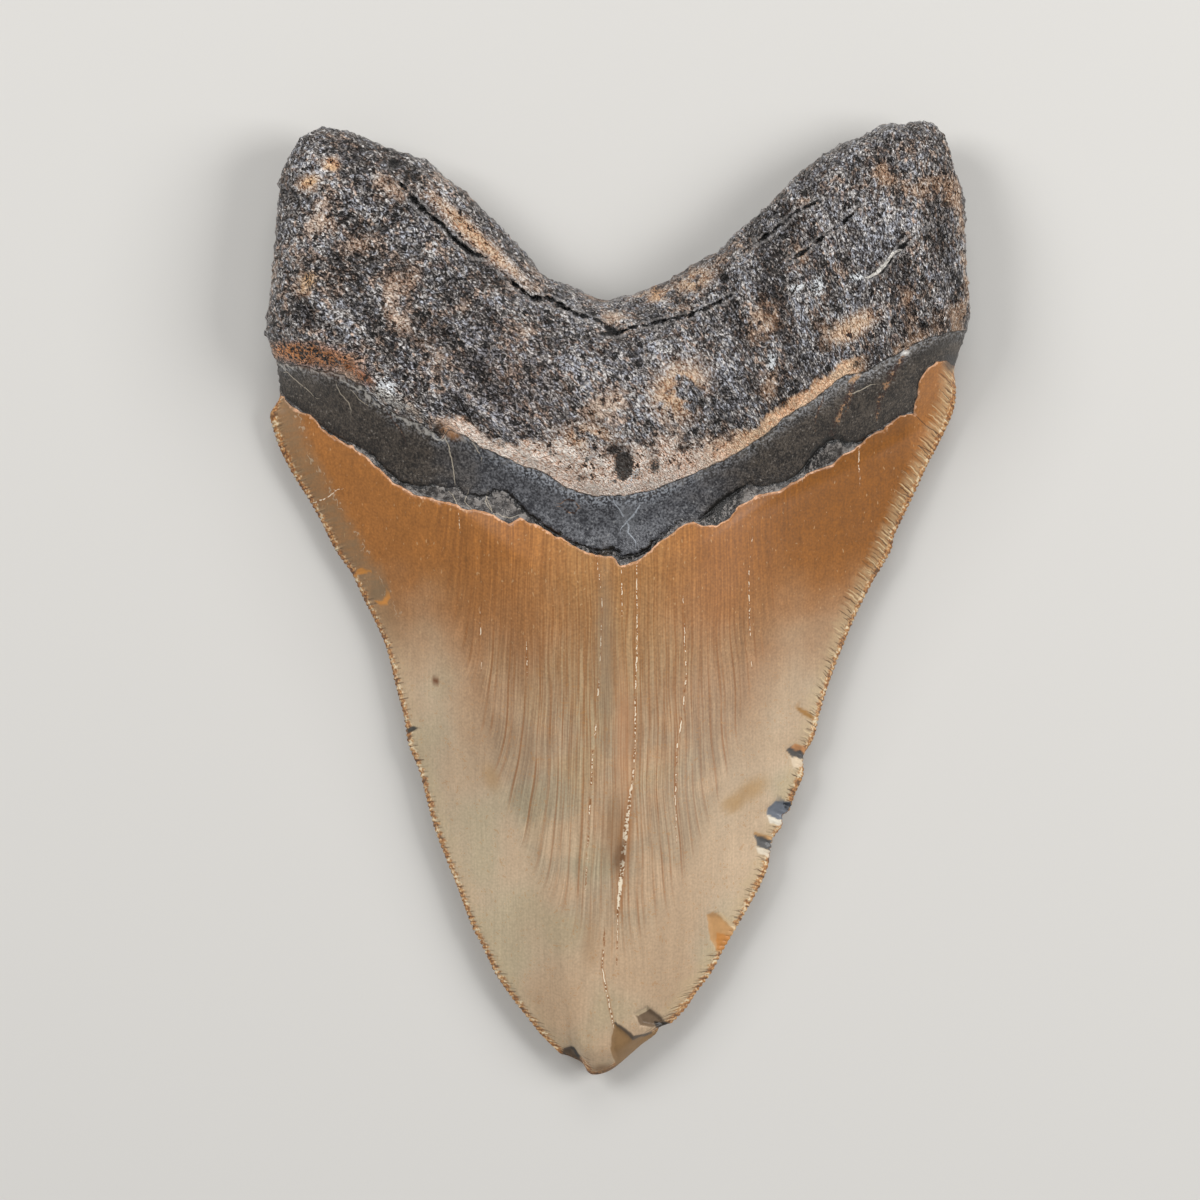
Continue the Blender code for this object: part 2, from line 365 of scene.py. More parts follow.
# where the root's rough bone meets the smooth bourlette
bourletteTop = (
    (-53.5, 35.4), (-50.1, 34.7), (-46.5, 34.2), (-43.1, 33.3), (-39.7, 32.6), (-36.6, 30.5),
    (-34.4, 28.3), (-31.5, 26.4), (-28.4, 25.3), (-25.4, 23.3), (-24.3, 24.4), (-21.6, 23.3),
    (-19.4, 21.7), (-16.5, 20.4), (-12.6, 18.9), (-9.7, 17.6), (-6.6, 15.8), (-2.9, 14.8),
    (1.2, 14.9), (5.0, 15.6), (9.8, 17.5), (12.5, 18.6), (17.1, 21.1), (20.7, 23.3),
    (23.8, 26.0), (27.5, 28.3), (30.6, 30.8), (33.5, 32.5), (36.9, 33.4), (42.5, 36.7),
    (46.3, 38.3), (50.0, 39.4), (53.5, 39.9),
)
# the enamel reaches higher on the labial face, and the root starts right above it
labialTop = (
    (-53.5, 31.4), (-49.0, 30.2), (-40.0, 30.6), (-30.0, 28.4), (-18.0, 25.6), (-7.0, 23.4),
    (0.5, 22.6), (8.0, 23.8), (19.0, 26.9), (30.0, 30.3), (41.0, 33.2), (49.0, 34.4),
    (53.5, 34.6),
)
rootCracks = (
    dict(points=((-31.8, 60.8), (-30.3, 59.1), (-28.4, 56.9), (-25.4, 54.4), (-23.5, 52.3),
                 (-21.6, 50.8), (-19.1, 49.7)), width=1.0, depth=1.0),
    dict(points=((-16.9, 47.7), (-14.6, 45.5), (-12.3, 43.8), (-10.0, 44.0), (-7.5, 42.3),
                 (-5.9, 41.6), (-2.9, 40.6), (-0.6, 39.0)), width=0.9, depth=1.0),
    dict(points=((-2.4, 38.7), (0.2, 38.6), (2.4, 39.4), (5.0, 40.0), (9.8, 41.0), (13.7, 42.6),
                 (16.6, 44.2)), width=0.7, depth=0.7),
    dict(points=((17.6, 50.4), (21.5, 53.0), (23.8, 54.5), (26.0, 56.4), (29.4, 58.1)),
         width=0.6, depth=0.55),
    dict(points=((25.0, 49.1), (27.5, 50.8), (30.4, 53.0), (33.5, 55.2), (35.6, 57.3)),
         width=0.7, depth=0.5),
    dict(points=((36.2, 46.7), (38.4, 47.6), (39.8, 49.4), (41.0, 50.8), (42.5, 52.3),
                 (45.1, 54.5)), width=0.9, depth=0.45),
)
# hollows in the root and the crown: place, radii across and along, depth
pits = (
    (0.9, 19.2, 1.5, 2.4, 1.1), (-0.6, 21.4, 1.2, 1.3, 0.7), (5.4, 19.0, 1.0, 1.5, 0.6),
    (-32.6, 63.8, 1.0, 1.0, 0.8), (-29.6, 61.6, 0.8, 0.8, 0.6), (-9.6, 21.3, 0.5, 1.4, 0.5),
    (9.5, 21.6, 1.3, 1.0, 0.5), (16.0, 25.8, 1.6, 1.0, 0.5), (12.0, 30.5, 1.2, 0.9, 0.45),
    (-34.5, 54.0, 1.6, 1.0, 0.5), (-29.0, 51.0, 1.2, 0.9, 0.5), (23.0, 44.0, 0.9, 0.9, 0.6),
    (-25.8, 24.2, 1.3, 1.2, 0.8), (32.0, 64.0, 1.1, 0.8, 0.5),
)
# stains, chips and scars of the crown
enamelMarks = (
    oval(-0.4, -34.0, 5.2, 1.5, turn=86, soft=0.6, colour="#7d5c3c", strength=0.55),
    oval(0.4, -37.6, 2.2, 0.9, turn=75, soft=0.5, colour="#5e432c", strength=0.6),
    oval(19.6, -28.1, 2.6, 1.3, turn=30, soft=0.6, colour="#a57d42", strength=0.55),
    oval(16.9, -30.2, 1.5, 1.2, soft=0.5, colour="#a57d42", strength=0.55),
    oval(-18.4, -26.2, 1.9, 1.1, turn=110, soft=0.7, colour="#a07840", strength=0.4),
    oval(-4.0, -50.2, 3.6, 1.0, turn=88, soft=0.7, colour="#9a7b5a", strength=0.4),
    oval(0.9, -20.0, 9.5, 1.2, turn=91, soft=0.6, colour="#b5855f", strength=0.5),
    oval(-1.8, -7.5, 11.5, 1.2, turn=90, soft=0.6, colour="#82725e", strength=0.5),
    outline((-38.8, 3.2), (-38.4, 4.2), (-37.5, 4.5), (-36.2, 4.1), (-36.9, 3.8), (-38.1, 3.6),
            (-38.5, 2.8), colour="#c08036", strength=0.9),
    outline((-34.1, 1.9), (-33.5, 1.1), (-33.4, 0.1), (-33.8, -0.8), (-35.1, -0.8), (-35.7, -0.2),
            (-34.5, -0.2), (-34.0, 0.4), (-34.0, 1.3), colour="#c9863c", strength=0.9),
    oval(-35.0, 1.2, 1.6, 1.2, turn=30, soft=0.5, colour="#7a6a52", strength=0.6),
    oval(-26.5, -12.0, 0.42, 0.14, turn=-5, colour="#6a3d1c"),
    oval(-30.3, -19.3, 0.9, 0.36, turn=20, colour="#3d3a33"),
    oval(27.6, -16.8, 1.6, 0.42, turn=-32, colour="#9b6d2a", strength=0.9),
    outline((24.8, -22.2), (26.2, -21.5), (28.6, -22.6), (28.2, -23.9), (25.9, -23.4), depth=0.7,
            colour="#4b4845"),
    outline((25.6, -21.9), (26.2, -21.3), (28.4, -22.3), (28.0, -22.8), colour="#c98f5c"),
    outline((25.4, -23.2), (27.9, -23.7), (27.4, -24.6), (26.0, -24.9), colour="#d8c4a8", strength=0.9),
    outline((22.1, -30.8), (23.4, -29.7), (26.4, -30.0), (26.0, -31.6), (24.6, -32.8), (22.1, -31.8),
            depth=0.9, colour="#6d727b"),
    outline((24.4, -30.0), (26.2, -29.9), (25.8, -31.2), (24.6, -31.0), colour="#2f343c"),
    outline((22.1, -31.9), (24.6, -32.7), (24.0, -33.6), (22.6, -33.0), colour="#e4dccb", strength=0.9),
    outline((20.1, -34.5), (21.8, -35.1), (24.2, -36.2), (23.4, -37.4), (20.7, -36.4), depth=0.8,
            colour="#5b5a59"),
    outline((20.5, -36.4), (23.0, -37.3), (22.4, -38.2), (20.8, -37.4), colour="#ddd0ba", strength=0.9),
    outline((20.3, -34.2), (23.0, -35.3), (22.8, -35.6), (20.2, -34.6), colour="#c79a66"),
    outline((13.2, -46.4), (14.9, -46.1), (18.2, -48.9), (16.4, -51.7), (14.8, -51.9), (13.7, -50.2),
            depth=0.45, colour="#c0925f"),
    outline((14.6, -49.2), (16.6, -49.6), (17.2, -50.6), (15.9, -51.8), (14.7, -51.7), colour="#c17d35",
            strength=0.8),
    outline((14.6, -46.2), (15.1, -46.1), (18.0, -48.6), (17.6, -49.1), colour="#e9cfa6", strength=0.9),
    outline((2.5, -61.0), (4.4, -59.9), (6.2, -61.3), (7.6, -62.9), (5.3, -63.1), (3.5, -62.7), depth=0.8,
            colour="#75604a"),
    outline((2.4, -61.0), (4.4, -59.9), (4.9, -60.3), (3.0, -61.3), colour="#d9c3a0", strength=0.8),
    outline((5.6, -62.2), (7.6, -62.4), (8.4, -63.1), (5.6, -63.3), colour="#15120f", strength=0.9),
    outline((-0.4, -62.2), (2.4, -64.5), (5.3, -63.9), (6.6, -63.1), (5.6, -65.3), (2.4, -68.0),
            (0.0, -69.0), (-1.0, -66.1), depth=0.4, colour="#8b6c47"),
    outline((-0.5, -62.2), (-0.1, -62.1), (2.5, -64.3), (5.2, -63.8), (5.2, -64.1), (2.3, -64.9),
            colour="#4e4338", strength=0.9),
    outline((6.4, -63.2), (6.9, -63.4), (5.9, -65.6), (2.6, -68.2), (2.2, -67.9), (5.3, -65.3),
            colour="#d8bb92", strength=0.8),
    outline((-8.3, -66.6), (-6.7, -65.9), (-5.6, -67.3), (-4.4, -69.6), (-5.9, -69.0), (-7.7, -68.0),
            depth=0.6, colour="#5a4a3a"),
    outline((-6.9, -66.2), (-6.5, -66.0), (-5.3, -67.4), (-5.7, -67.7), colour="#2b241e"),
    oval(-1.8, -69.3, 1.7, 0.8, soft=0.6, colour="#7f6040", strength=0.8),
    oval(-52.0, 24.8, 1.4, 0.6, turn=80, colour="#4a3d30", strength=0.6),
)
bourletteMarks = (
    oval(1.3, 11.8, 2.4, 1.0, turn=100, soft=0.8, colour="#77797c", strength=0.45),
    oval(46.5, 36.6, 3.6, 0.7, turn=28, soft=0.5, colour="#26221e", strength=0.7),
    oval(49.3, 34.8, 1.4, 1.2, turn=20, soft=0.5, colour="#2c2a2a", strength=0.8),
    oval(41.9, 35.7, 0.42, 0.34, colour="#dfdcd6"),
    oval(34.4, 32.0, 0.9, 0.4, turn=30, colour="#b98e62", strength=0.8),
    oval(-33.8, 29.6, 1.5, 0.7, turn=-30, soft=0.5, colour="#c9c4bb", strength=0.8),
    oval(-31.0, 27.8, 3.2, 0.9, turn=-28, soft=0.7, colour="#8f8980", strength=0.6),
)
# stains of the root
boneMarks = (
    oval(-45.2, 35.6, 6.6, 1.3, turn=-10, soft=0.5, colour="#d0884c", strength=0.95),
    oval(-41.5, 34.8, 4.4, 1.7, turn=-14, soft=0.8, colour="#86593a", strength=0.8),
    oval(-37.6, 32.6, 2.6, 0.8, turn=-35, soft=0.5, colour="#93582e", strength=0.8),
    oval(-24.6, 24.6, 2.0, 0.8, turn=-35, soft=0.6, colour="#b5804f", strength=0.7),
    oval(-45.1, 60.8, 1.0, 0.5, turn=20, soft=0.6, colour="#c49a68", strength=0.6),
    oval(-41.5, 63.0, 1.1, 0.5, soft=0.6, colour="#c49a68", strength=0.6),
    oval(-45.1, 46.1, 1.6, 1.0, turn=60, soft=0.6, colour="#c49a68", strength=0.6),
    oval(5.6, 44.8, 1.0, 0.7, turn=90, soft=0.6, colour="#c08a4c", strength=0.7),
)
# white grit stuck in the bone
gritMarks = (
    oval(-33.6, 30.4, 1.7, 1.4, turn=-30, soft=0.4),
    oval(26.2, 45.4, 1.1, 0.7, turn=20, soft=0.4),
    oval(22.5, 34.4, 0.7, 1.4, soft=0.4),
    oval(34.9, 46.8, 1.2, 0.6, soft=0.4),
    oval(29.2, 45.6, 0.9, 1.6, soft=0.6),
    oval(2.2, 17.4, 1.6, 0.6, turn=60, soft=0.6),
)
# where the bone's grain is paler, tan or purplish, and where the broken strip is deepest
paleMarks = (
    oval(-8.0, 32.0, 6.0, 6.0, soft=0.9),
    oval(9.5, 32.0, 6.0, 8.0, soft=0.9),
    oval(0.5, 25.0, 5.0, 4.0, soft=0.9),
    oval(36.0, 54.0, 7.0, 5.0, soft=0.9),
    oval(-17.0, 29.5, 4.0, 3.0, soft=0.9),
    oval(0.4, 41.0, 4.0, 3.0, soft=0.9),
    oval(-42.2, 58.6, 2.6, 2.6, soft=0.9),
)
tanMarks = (
    oval(9.0, 30.0, 4.6, 3.6, turn=60, soft=0.6),
    oval(34.3, 39.5, 4.0, 1.4, turn=32, soft=0.7),
    oval(5.6, 44.4, 3.4, 1.0, turn=8, soft=0.6),
    oval(11.0, 46.5, 3.0, 1.6, turn=25, soft=0.7),
    oval(-20.5, 52.8, 9.5, 1.2, turn=-43, soft=0.7),
    oval(-45.1, 60.8, 1.8, 1.2, turn=20, soft=0.6),
    oval(-41.5, 63.6, 1.5, 1.0, soft=0.6),
    oval(-45.3, 46.0, 1.9, 1.6, turn=60, soft=0.6),
    oval(-4.5, 23.0, 4.0, 2.0, soft=0.9),
)
purpleMarks = (oval(-16.5, 31.0, 10.0, 7.0, turn=-30, soft=0.8),)
gashMarks = (
    oval(15.2, 12.9, 3.6, 1.5, turn=42),
    oval(29.5, 19.8, 2.4, 1.2, turn=40, soft=0.6),
)


def paint(code):
    # the colour of a web code, as a shader's linear values
    parts = [int(code[index:index + 2], 16) / 255 for index in (1, 3, 5)]
    return (*[part / 12.92 if part < 0.04045 else ((part + 0.055) / 1.055) ** 2.4 for part in parts], 1.0)


def softNoise(place, size, seed):
    # smooth value noise from -1 to 1, in one or two directions
    grid = np.random.default_rng(seed).uniform(-1, 1, (64, 64))
    spot = np.atleast_2d(np.asarray(place, float).T).T / size
    if spot.shape[1] == 1:
        spot = np.hstack([spot, np.zeros_like(spot)])
    cell = np.floor(spot).astype(int)
    blend = smoothStep(spot - cell)
    x, y = cell[:, 0] % 63, cell[:, 1] % 63
    low = grid[x, y] + (grid[x + 1, y] - grid[x, y]) * blend[:, 0]
    high = grid[x, y + 1] + (grid[x + 1, y + 1] - grid[x, y + 1]) * blend[:, 0]
    return low + (high - low) * blend[:, 1]


def belowPath(points, place):
    # signed distance in mm: positive on the tip's side of a border that runs across the tooth
    path = np.array(points)
    distance = distanceTo(path, place)[0]
    return np.where(place[:, 1] < np.interp(place[:, 0], path[:, 0], path[:, 1]), distance, -distance)


def chipShift(u, v, flat):
    # from the even borders to the worn ones, in mm. It dies out a little way in
    shift = np.zeros_like(flat)
    shares = np.linspace(0, 1, 1600)
    for even, worn, run in ((leftPath, leftWorn, u), (rightPath, rightWorn, u), (topPath, topWorn, v)):
        borderPoints = along(even, shares)
        jog = along(worn, distanceTo(worn, borderPoints)[1]) - borderPoints
        away = np.hypot(*(flat - along(even, run)).T)
        reach = np.exp(-away / wear["chipReach"])
        moved = np.stack([np.interp(run, shares, jog[:, axis]) for axis in (0, 1)], axis=1)
        shift += moved * reach[:, None]
    return shift


def serrated(u, v, place, distance):
    # pushes the cutting edges into a row of small rounded teeth
    moved = place.copy()
    groove = np.zeros(len(u))
    sides = ((leftPath, v, 1.0, wear["leftShoulderY"], 11),
             (rightPath, 1 - v, -1.0, wear["rightShoulderY"], 12))
    for path, share, turn, shoulder, seed in sides:
        run = u * lengthsOf(path)[-1]
        step = along(path, np.clip(u + 0.002, 0, 1)) - along(path, np.clip(u - 0.002, 0, 1))
        outward = np.stack([-step[:, 1], step[:, 0]], axis=1) * turn
        outward /= np.linalg.norm(outward, axis=1)[:, None]
        phase = run / wear["serrationPitch"] + 0.45 * softNoise(run, 5.0, seed)
        wave = np.abs(np.sin(np.pi * phase)) ** 0.7 - 0.6
        uneven = 0.75 + 0.45 * softNoise(run, 1.7, seed + 10)
        inside = smoothStep((shoulder - place[:, 1]) / 2.0)
        inside *= smoothStep((place[:, 1] - wear["tipEndY"]) / 4.0)
        near = np.exp(-distance / wear["serrationReach"]) * (share < 0.5) * inside
        moved += outward * (wear["serrationDepth"] * wave * uneven * near)[:, None]
        groove += np.clip(-wave, 0, 1) * near
    return moved, groove


def scoop(place, holes, ragged=0.15, seed=3):
    # depth in mm of the round hollows at each place
    depth = np.zeros(len(place))
    for index, (x, y, radiusX, radiusY, deep) in enumerate(holes):
        away = np.hypot((place[:, 0] - x) / radiusX, (place[:, 1] - y) / radiusY)
        away += ragged * softNoise(place, 0.7 * radiusX, seed + index)
        depth = np.maximum(depth, deep * np.clip(1 - away**2, 0, 1) ** 0.6)
    return depth


def ovalShare(place, x, y, halfLength, halfWidth, turn, soft):
    # 1 inside an oval whose long axis is turned by this many degrees
    cosine, sine = math.cos(math.radians(turn)), math.sin(math.radians(turn))
    along = ((place[:, 0] - x) * cosine + (place[:, 1] - y) * sine) / halfLength
    aside = ((place[:, 1] - y) * cosine - (place[:, 0] - x) * sine) / halfWidth
    return smoothStep((1 + soft - np.hypot(along, aside)) / (2 * soft))


def insideDepth(place, points):
    # how far inside an outline each place is, in mm: negative outside
    outline = np.array(points)
    inside = np.zeros(len(place), bool)
    for (x1, y1), (x2, y2) in zip(outline, np.roll(outline, -1, axis=0)):
        crossing = x1 + (place[:, 1] - y1) * (x2 - x1) / (y2 - y1 or 1e-9)
        inside ^= ((y1 > place[:, 1]) != (y2 > place[:, 1])) & (place[:, 0] < crossing)
    distance = distanceTo(outline, place, closed=True)[0]
    return np.where(inside, distance, -distance)


def markShare(place, mark):
    if "points" in mark:
        return smoothStep(insideDepth(place, mark["points"]) / wear["outlineSoftness"] + 0.5)
    return ovalShare(place, *mark["oval"])


def widestShare(place, marks):
    return np.max([markShare(place, mark) for mark in marks], axis=0)


def stainsOf(place, marks):
    # the marks laid over each other: colour times cover, and cover
    layer = np.zeros((len(place), 4))
    for mark in marks:
        cover = markShare(place, mark) * mark.get("strength", 1.0)
        layer += (np.array(paint(mark["colour"])) - layer) * cover[:, None]
    return layer


def flakeDepth(place):
    depth = np.zeros(len(place))
    for mark in enamelMarks:
        if "depth" in mark:
            into = insideDepth(place, mark["points"])
            depth = np.maximum(depth, mark["depth"] * smoothStep(into / wear["flakeSlope"] + 0.3))
    return depth


def rootCrackForm(place):
    # depth of the cracks in the root, and how far outside the nearest one's walls each place is
    depth = np.zeros(len(place))
    outside = np.full(len(place), farAway)
    for index, crack in enumerate(rootCracks):
        distance, share = distanceTo(np.array(crack["points"]), place)
        distance += wear["rootCrackRagged"] * softNoise(place, 0.9, 40 + index)
        taper = np.clip(4 * share * (1 - share), 0, 1) ** 0.4
        width = wear["rootCrackWidth"] * crack["width"] * (0.3 + 0.9 * taper)
        cut = np.clip(1.25 - distance / width, 0, 1)
        slump = wear["rootCrackSlump"] * np.exp(-((distance / wear["slumpReach"]) ** 2)) * taper
        depth = np.maximum(depth, crack["depth"] * (wear["rootCrackDepth"] * cut * taper + slump))
        outside = np.minimum(outside, distance - width * crack["depth"])
    return depth, outside


def scatterPores(rootEdge, place):
    # small holes all over the root, each a few tenths of a millimetre
    rng = np.random.default_rng(wear["poreSeed"])
    depth = np.zeros(len(place))
    spots = rng.uniform((-52, 14), (52, 70), (wear["poreCount"], 2))
    sizes = rng.uniform(*wear["poreSize"], wear["poreCount"])
    deeps = rng.uniform(*wear["poreDepth"], wear["poreCount"])
    for spot, size, deep in zip(spots, sizes, deeps):
        close = np.flatnonzero(np.abs(place - spot).max(axis=1) < 2 * size)
        away = np.hypot(*((place[close] - spot) / size).T)
        depth[close] = np.maximum(depth[close], deep * np.clip(1 - away**2, 0, 1))
    return depth * (rootEdge > 0.2)


def gullyHeight(flat):
    # shallow gullies and grooves along the root's fibres, which fan out from one point
    fan = flat - wear["strokesFrom"]
    fan = np.stack([np.arctan2(fan[:, 1], fan[:, 0]) * wear["strokeReach"], np.hypot(*fan.T)], axis=1)
    gullies = softNoise(fan / (wear["gullyWidth"], wear["gullyLength"]), 1.0, 33)
    grooves = softNoise(fan / (wear["grooveWidth"], wear["grooveLength"]), 1.0, 34)
    return wear["gullyHeight"] * gullies + wear["grooveHeight"] * grooves


def formSheet(sheet, upper):
    # bends the flat grid to the tooth's face and notes where each zone starts
    u, v = sharesOf(pointsOf(sheet.data))
    flat = patchPlace(u, v)
    onRim = np.min([u, 1 - u, v, 1 - v], axis=0) < 1e-6
    distance = np.where(onRim, 0, distanceTo(ringPath, flat, closed=True)[0])
    worn = flat + chipShift(u, v, flat)
    place, groove = serrated(u, v, worn, distance)
    x, y = flat.T
    height = toothHeight(u, v, x, y, distance, upper)
    floorHeight = toothHeight(u, v, x, y, distance, False)
    if upper:
        enamelEdge = belowPath(enamelTop, flat) + wear["enamelRagged"] * softNoise(flat, 0.9, 21)
        rootEdge = -belowPath(bourletteTop, flat) + wear["enamelRagged"] * softNoise(flat, 1.1, 22)
    else:
        enamelEdge = belowPath(labialTop, flat) + wear["enamelRagged"] * softNoise(flat, 0.9, 23)
        rootEdge = -enamelEdge
    breakEdge = belowPath(breakLine, flat) + wear["breakRagged"] * softNoise(flat, 0.6, 24)
    inside = smoothStep(distance / wear["rimFade"])
    onRoot = smoothStep(rootEdge / wear["rootStepWidth"])
    onCrown = smoothStep(enamelEdge / wear["enamelStepWidth"] + 0.5)
    relief = wear["swellHeight"] * softNoise(flat, wear["swellSize"], 31)
    relief += wear["lumpHeight"] * softNoise(flat, wear["lumpSize"], 32)
    gullies = gullyHeight(flat)
    raised = wear["enamelStep"] * onCrown + (wear["rootStep"] + relief + gullies) * onRoot
    if upper:
        breakWidth = np.interp(flat[:, 0], *np.array(breakWidths).T)
        gap = np.clip(1.2 - np.abs(breakEdge) / (0.8 * breakWidth + 0.04), 0, 1)
        gap *= wear["breakDepth"] * np.clip(breakWidth / 0.3, 0.3, 1.3)
        cracked, crackAway = rootCrackForm(flat)
        hollow = np.max([scoop(flat, pits), scatterPores(rootEdge, flat), gap, flakeDepth(worn)], axis=0)
        height += inside * (raised - np.maximum(hollow, cracked))
        height -= wear["serrationGroove"] * groove * smoothStep(distance / 0.3)
        thinnest = wear["thinnest"] * np.clip(distance / wear["thinnestFrom"], 0, 1)
        height = np.maximum(height, floorHeight + thinnest)
    else:
        breakEdge -= farAway
        crackAway = np.full(len(x), farAway)
        hollow = scatterPores(rootEdge, flat * (-1, 1))
        lifted = np.minimum(raised - wear["enamelStep"], 0) * -0.5 + 0.6 * hollow
        height += inside * lifted * smoothStep(height / 0.6)
    movePoints(sheet.data, np.column_stack([place, height]) * mm)
    lingual = 1.0 if upper else 0.0
    edgeRun = np.where(v < 0.5, u * lengthsOf(leftPath)[-1], 200 + u * lengthsOf(rightPath)[-1])
    notes = dict(enamelEdge=enamelEdge, rootEdge=rootEdge, breakEdge=breakEdge, rimDistance=distance,
                 edgeRun=edgeRun, hollow=hollow * inside, relief=gullies, crackAway=crackAway,
                 lingual=np.full(len(x), lingual))
    ragged = np.stack([softNoise(flat, 0.7, 71), softNoise(flat, 0.7, 72)], axis=1)
    spots = worn + wear["stainRagged"] * ragged
    for name, marks in (("tanShare", tanMarks), ("paleShare", paleMarks), ("purpleShare", purpleMarks),
                        ("gritShare", gritMarks), ("gashShare", gashMarks)):
        notes[name] = widestShare(spots, marks) * lingual
    for name, values in notes.items():
        putValues(sheet.data, name, values)
    putColours(sheet.data, "stains", stainsOf(spots, enamelMarks + bourletteMarks + boneMarks) * lingual)


def fromSide(v):
    return np.minimum(v, 1 - v)


def nearCuttingEdge(u, v, place):
    return (u < fineZones["cuttingEdgeTo"]) & (fromSide(v) < fineZones["cuttingEdge"])


def nearRoot(u, v, place):
    return place[:, 1] > neckOf(place[:, 0]) - fineZones["belowNeck"]


def nearRootRim(u, v, place):
    rim = (fromSide(v) < fineZones["rootRim"]) | (1 - u < fineZones["rootRimTop"])
    return nearRoot(u, v, place) & rim


def nearCracks(u, v, place):
    close = np.zeros(len(u), bool)
    for crack in rootCracks:
        close |= distanceTo(np.array(crack["points"]), place)[0] < fineZones["rootCrack"]
    for line in (enamelTop, breakLine):
        close |= np.abs(belowPath(line, place)) < fineZones["enamelLine"]
    return close & (fromSide(v) > 0.03) & (u < 0.97)


def nearFlakes(u, v, place):
    close = np.zeros(len(u), bool)
    for mark in enamelMarks:
        if "points" in mark:
            close |= insideDepth(place, mark["points"]) > -fineZones["flake"]
        elif mark["oval"][-1] < wear["crispBelow"]:
            close |= ovalShare(place, *mark["oval"][:-1], fineZones["stain"]) > 0.02
    return close & (fromSide(v) > 0.012) & (u > 0.01)


print("refining")
refineRows(lingualSheet, nearCuttingEdge, 4)
refineRows(labialSheet, nearCuttingEdge, 4)
refineFaces(lingualSheet, nearRoot)
refineFaces(labialSheet, nearRootRim)
refineFaces(lingualSheet, nearCracks)
refineFaces(lingualSheet, nearFlakes)
refineFaces(lingualSheet, nearFlakes)

print("forming")
formSheet(lingualSheet, True)
formSheet(labialSheet, False)

print("joining the two faces")
onlyActive(labialSheet)
bpy.ops.object.mode_set(mode="EDIT")
bpy.ops.mesh.select_all(action="SELECT")
bpy.ops.mesh.flip_normals()
bpy.ops.object.mode_set(mode="OBJECT")
onlyActive(lingualSheet)
labialSheet.select_set(True)
bpy.ops.object.join()
bpy.ops.object.mode_set(mode="EDIT")
bpy.ops.mesh.select_all(action="SELECT")
bpy.ops.mesh.remove_doubles(threshold=0.002 * mm)
bpy.ops.object.mode_set(mode="OBJECT")
tooth = lingualSheet
tooth.name = "toothSurface"

# rough bone of the root: texture, size and height in mm
boneGrain = (
    dict(kind="CLOUDS", size=2.3, height=0.45, level=0.5, extra=dict(noise_depth=2)),
    dict(kind="VORONOI", size=1.15, height=-0.42, level=0.35, extra=dict(distance_metric="DISTANCE")),
    dict(kind="CLOUDS", size=0.75, height=0.55, level=0.5,
         extra=dict(noise_depth=1, noise_type="HARD_NOISE")),
)


def weighGroup(piece, name, weights):
    group = piece.vertex_groups.new(name=name)
    steps = np.round(weights * 20).astype(int)
    for step in range(1, 21):
        group.add(np.flatnonzero(steps == step).tolist(), step / 20, "REPLACE")


def roughen(piece, grain, group):
    texture = bpy.data.textures.new(grain["kind"].lower(), grain["kind"])
    texture.noise_scale = grain["size"] * mm
    for name, value in grain["extra"].items():
        setattr(texture, name, value)
    modifier = piece.modifiers.new("rough", "DISPLACE")
    modifier.texture = texture
    modifier.texture_coords = "LOCAL"
    modifier.strength = grain["height"] * mm
    modifier.mid_level = grain["level"]
    modifier.vertex_group = group
    bpy.ops.object.modifier_apply(modifier=modifier.name)


print("roughening the root")
onlyActive(tooth)
smoothPlaces = pointsOf(tooth.data)
smoothNormals = np.array([vert.normal for vert in tooth.data.vertices])
rootWeights = smoothStep((valuesOf(tooth.data, "rootEdge") - wear["roughFrom"]) / wear["roughBlend"])
weighGroup(tooth, "root", rootWeights)
for grain in boneGrain:
    roughen(tooth, grain, "root")
places = pointsOf(tooth.data)
places[:, 2] = np.maximum(places[:, 2], 0)   # nothing sinks below the plane it rests on
movePoints(tooth.data, places)
grainHeight = ((places - smoothPlaces) * smoothNormals).sum(axis=1) / mm
putValues(tooth.data, "relief", valuesOf(tooth.data, "relief") + grainHeight)
tooth.vertex_groups.clear()
tooth.data.shade_smooth()


class Wire:
    # a node's output that can be used in sums like a number
    tree = None

    def __init__(self, socket):
        self.socket = socket

    @staticmethod
    def node(kind, settings, values, output=0):
        item = Wire.tree.nodes.new(kind)
        for name, value in settings.items():
            if name == "stops":
                fillRamp(item.color_ramp, value)
            elif name == "curve":
                fillCurve(item.mapping, value)
            else:
                setattr(item, name, value)
        for key, value in values.items():
            if isinstance(value, Wire):
                Wire.tree.links.new(value.socket, item.inputs[key])
            else:
                item.inputs[key].default_value = value
        return Wire(item.outputs[output])

    def math(self, operation, other=None, flip=False):
        pair = (other, self) if flip else (self, other)
        used = {index: value for index, value in enumerate(pair) if value is not None}
        return Wire.node("ShaderNodeMath", {"operation": operation}, used)

    def __add__(self, other):
        return self.math("ADD", other)

    def __sub__(self, other):
        return self.math("SUBTRACT", other)

    def __rsub__(self, other):
        return self.math("SUBTRACT", other, True)

    def __mul__(self, other):
        return self.math("MULTIPLY", other)

    def __truediv__(self, other):
        return self.math("DIVIDE", other)

    def __rtruediv__(self, other):
        return self.math("DIVIDE", other, True)

    def __pow__(self, other):
        return self.math("POWER", other)

    def __rpow__(self, other):
        return self.math("POWER", other, True)

    def __neg__(self):
        return self.math("MULTIPLY", -1.0)

    def __abs__(self):
        return self.math("ABSOLUTE")

    __radd__ = __add__
    __rmul__ = __mul__


def fillRamp(ramp, stops):
    while len(ramp.elements) < len(stops):
        ramp.elements.new(0.5)
    for element, (place, colour) in zip(ramp.elements, stops):
        element.position = place
        element.color = colour


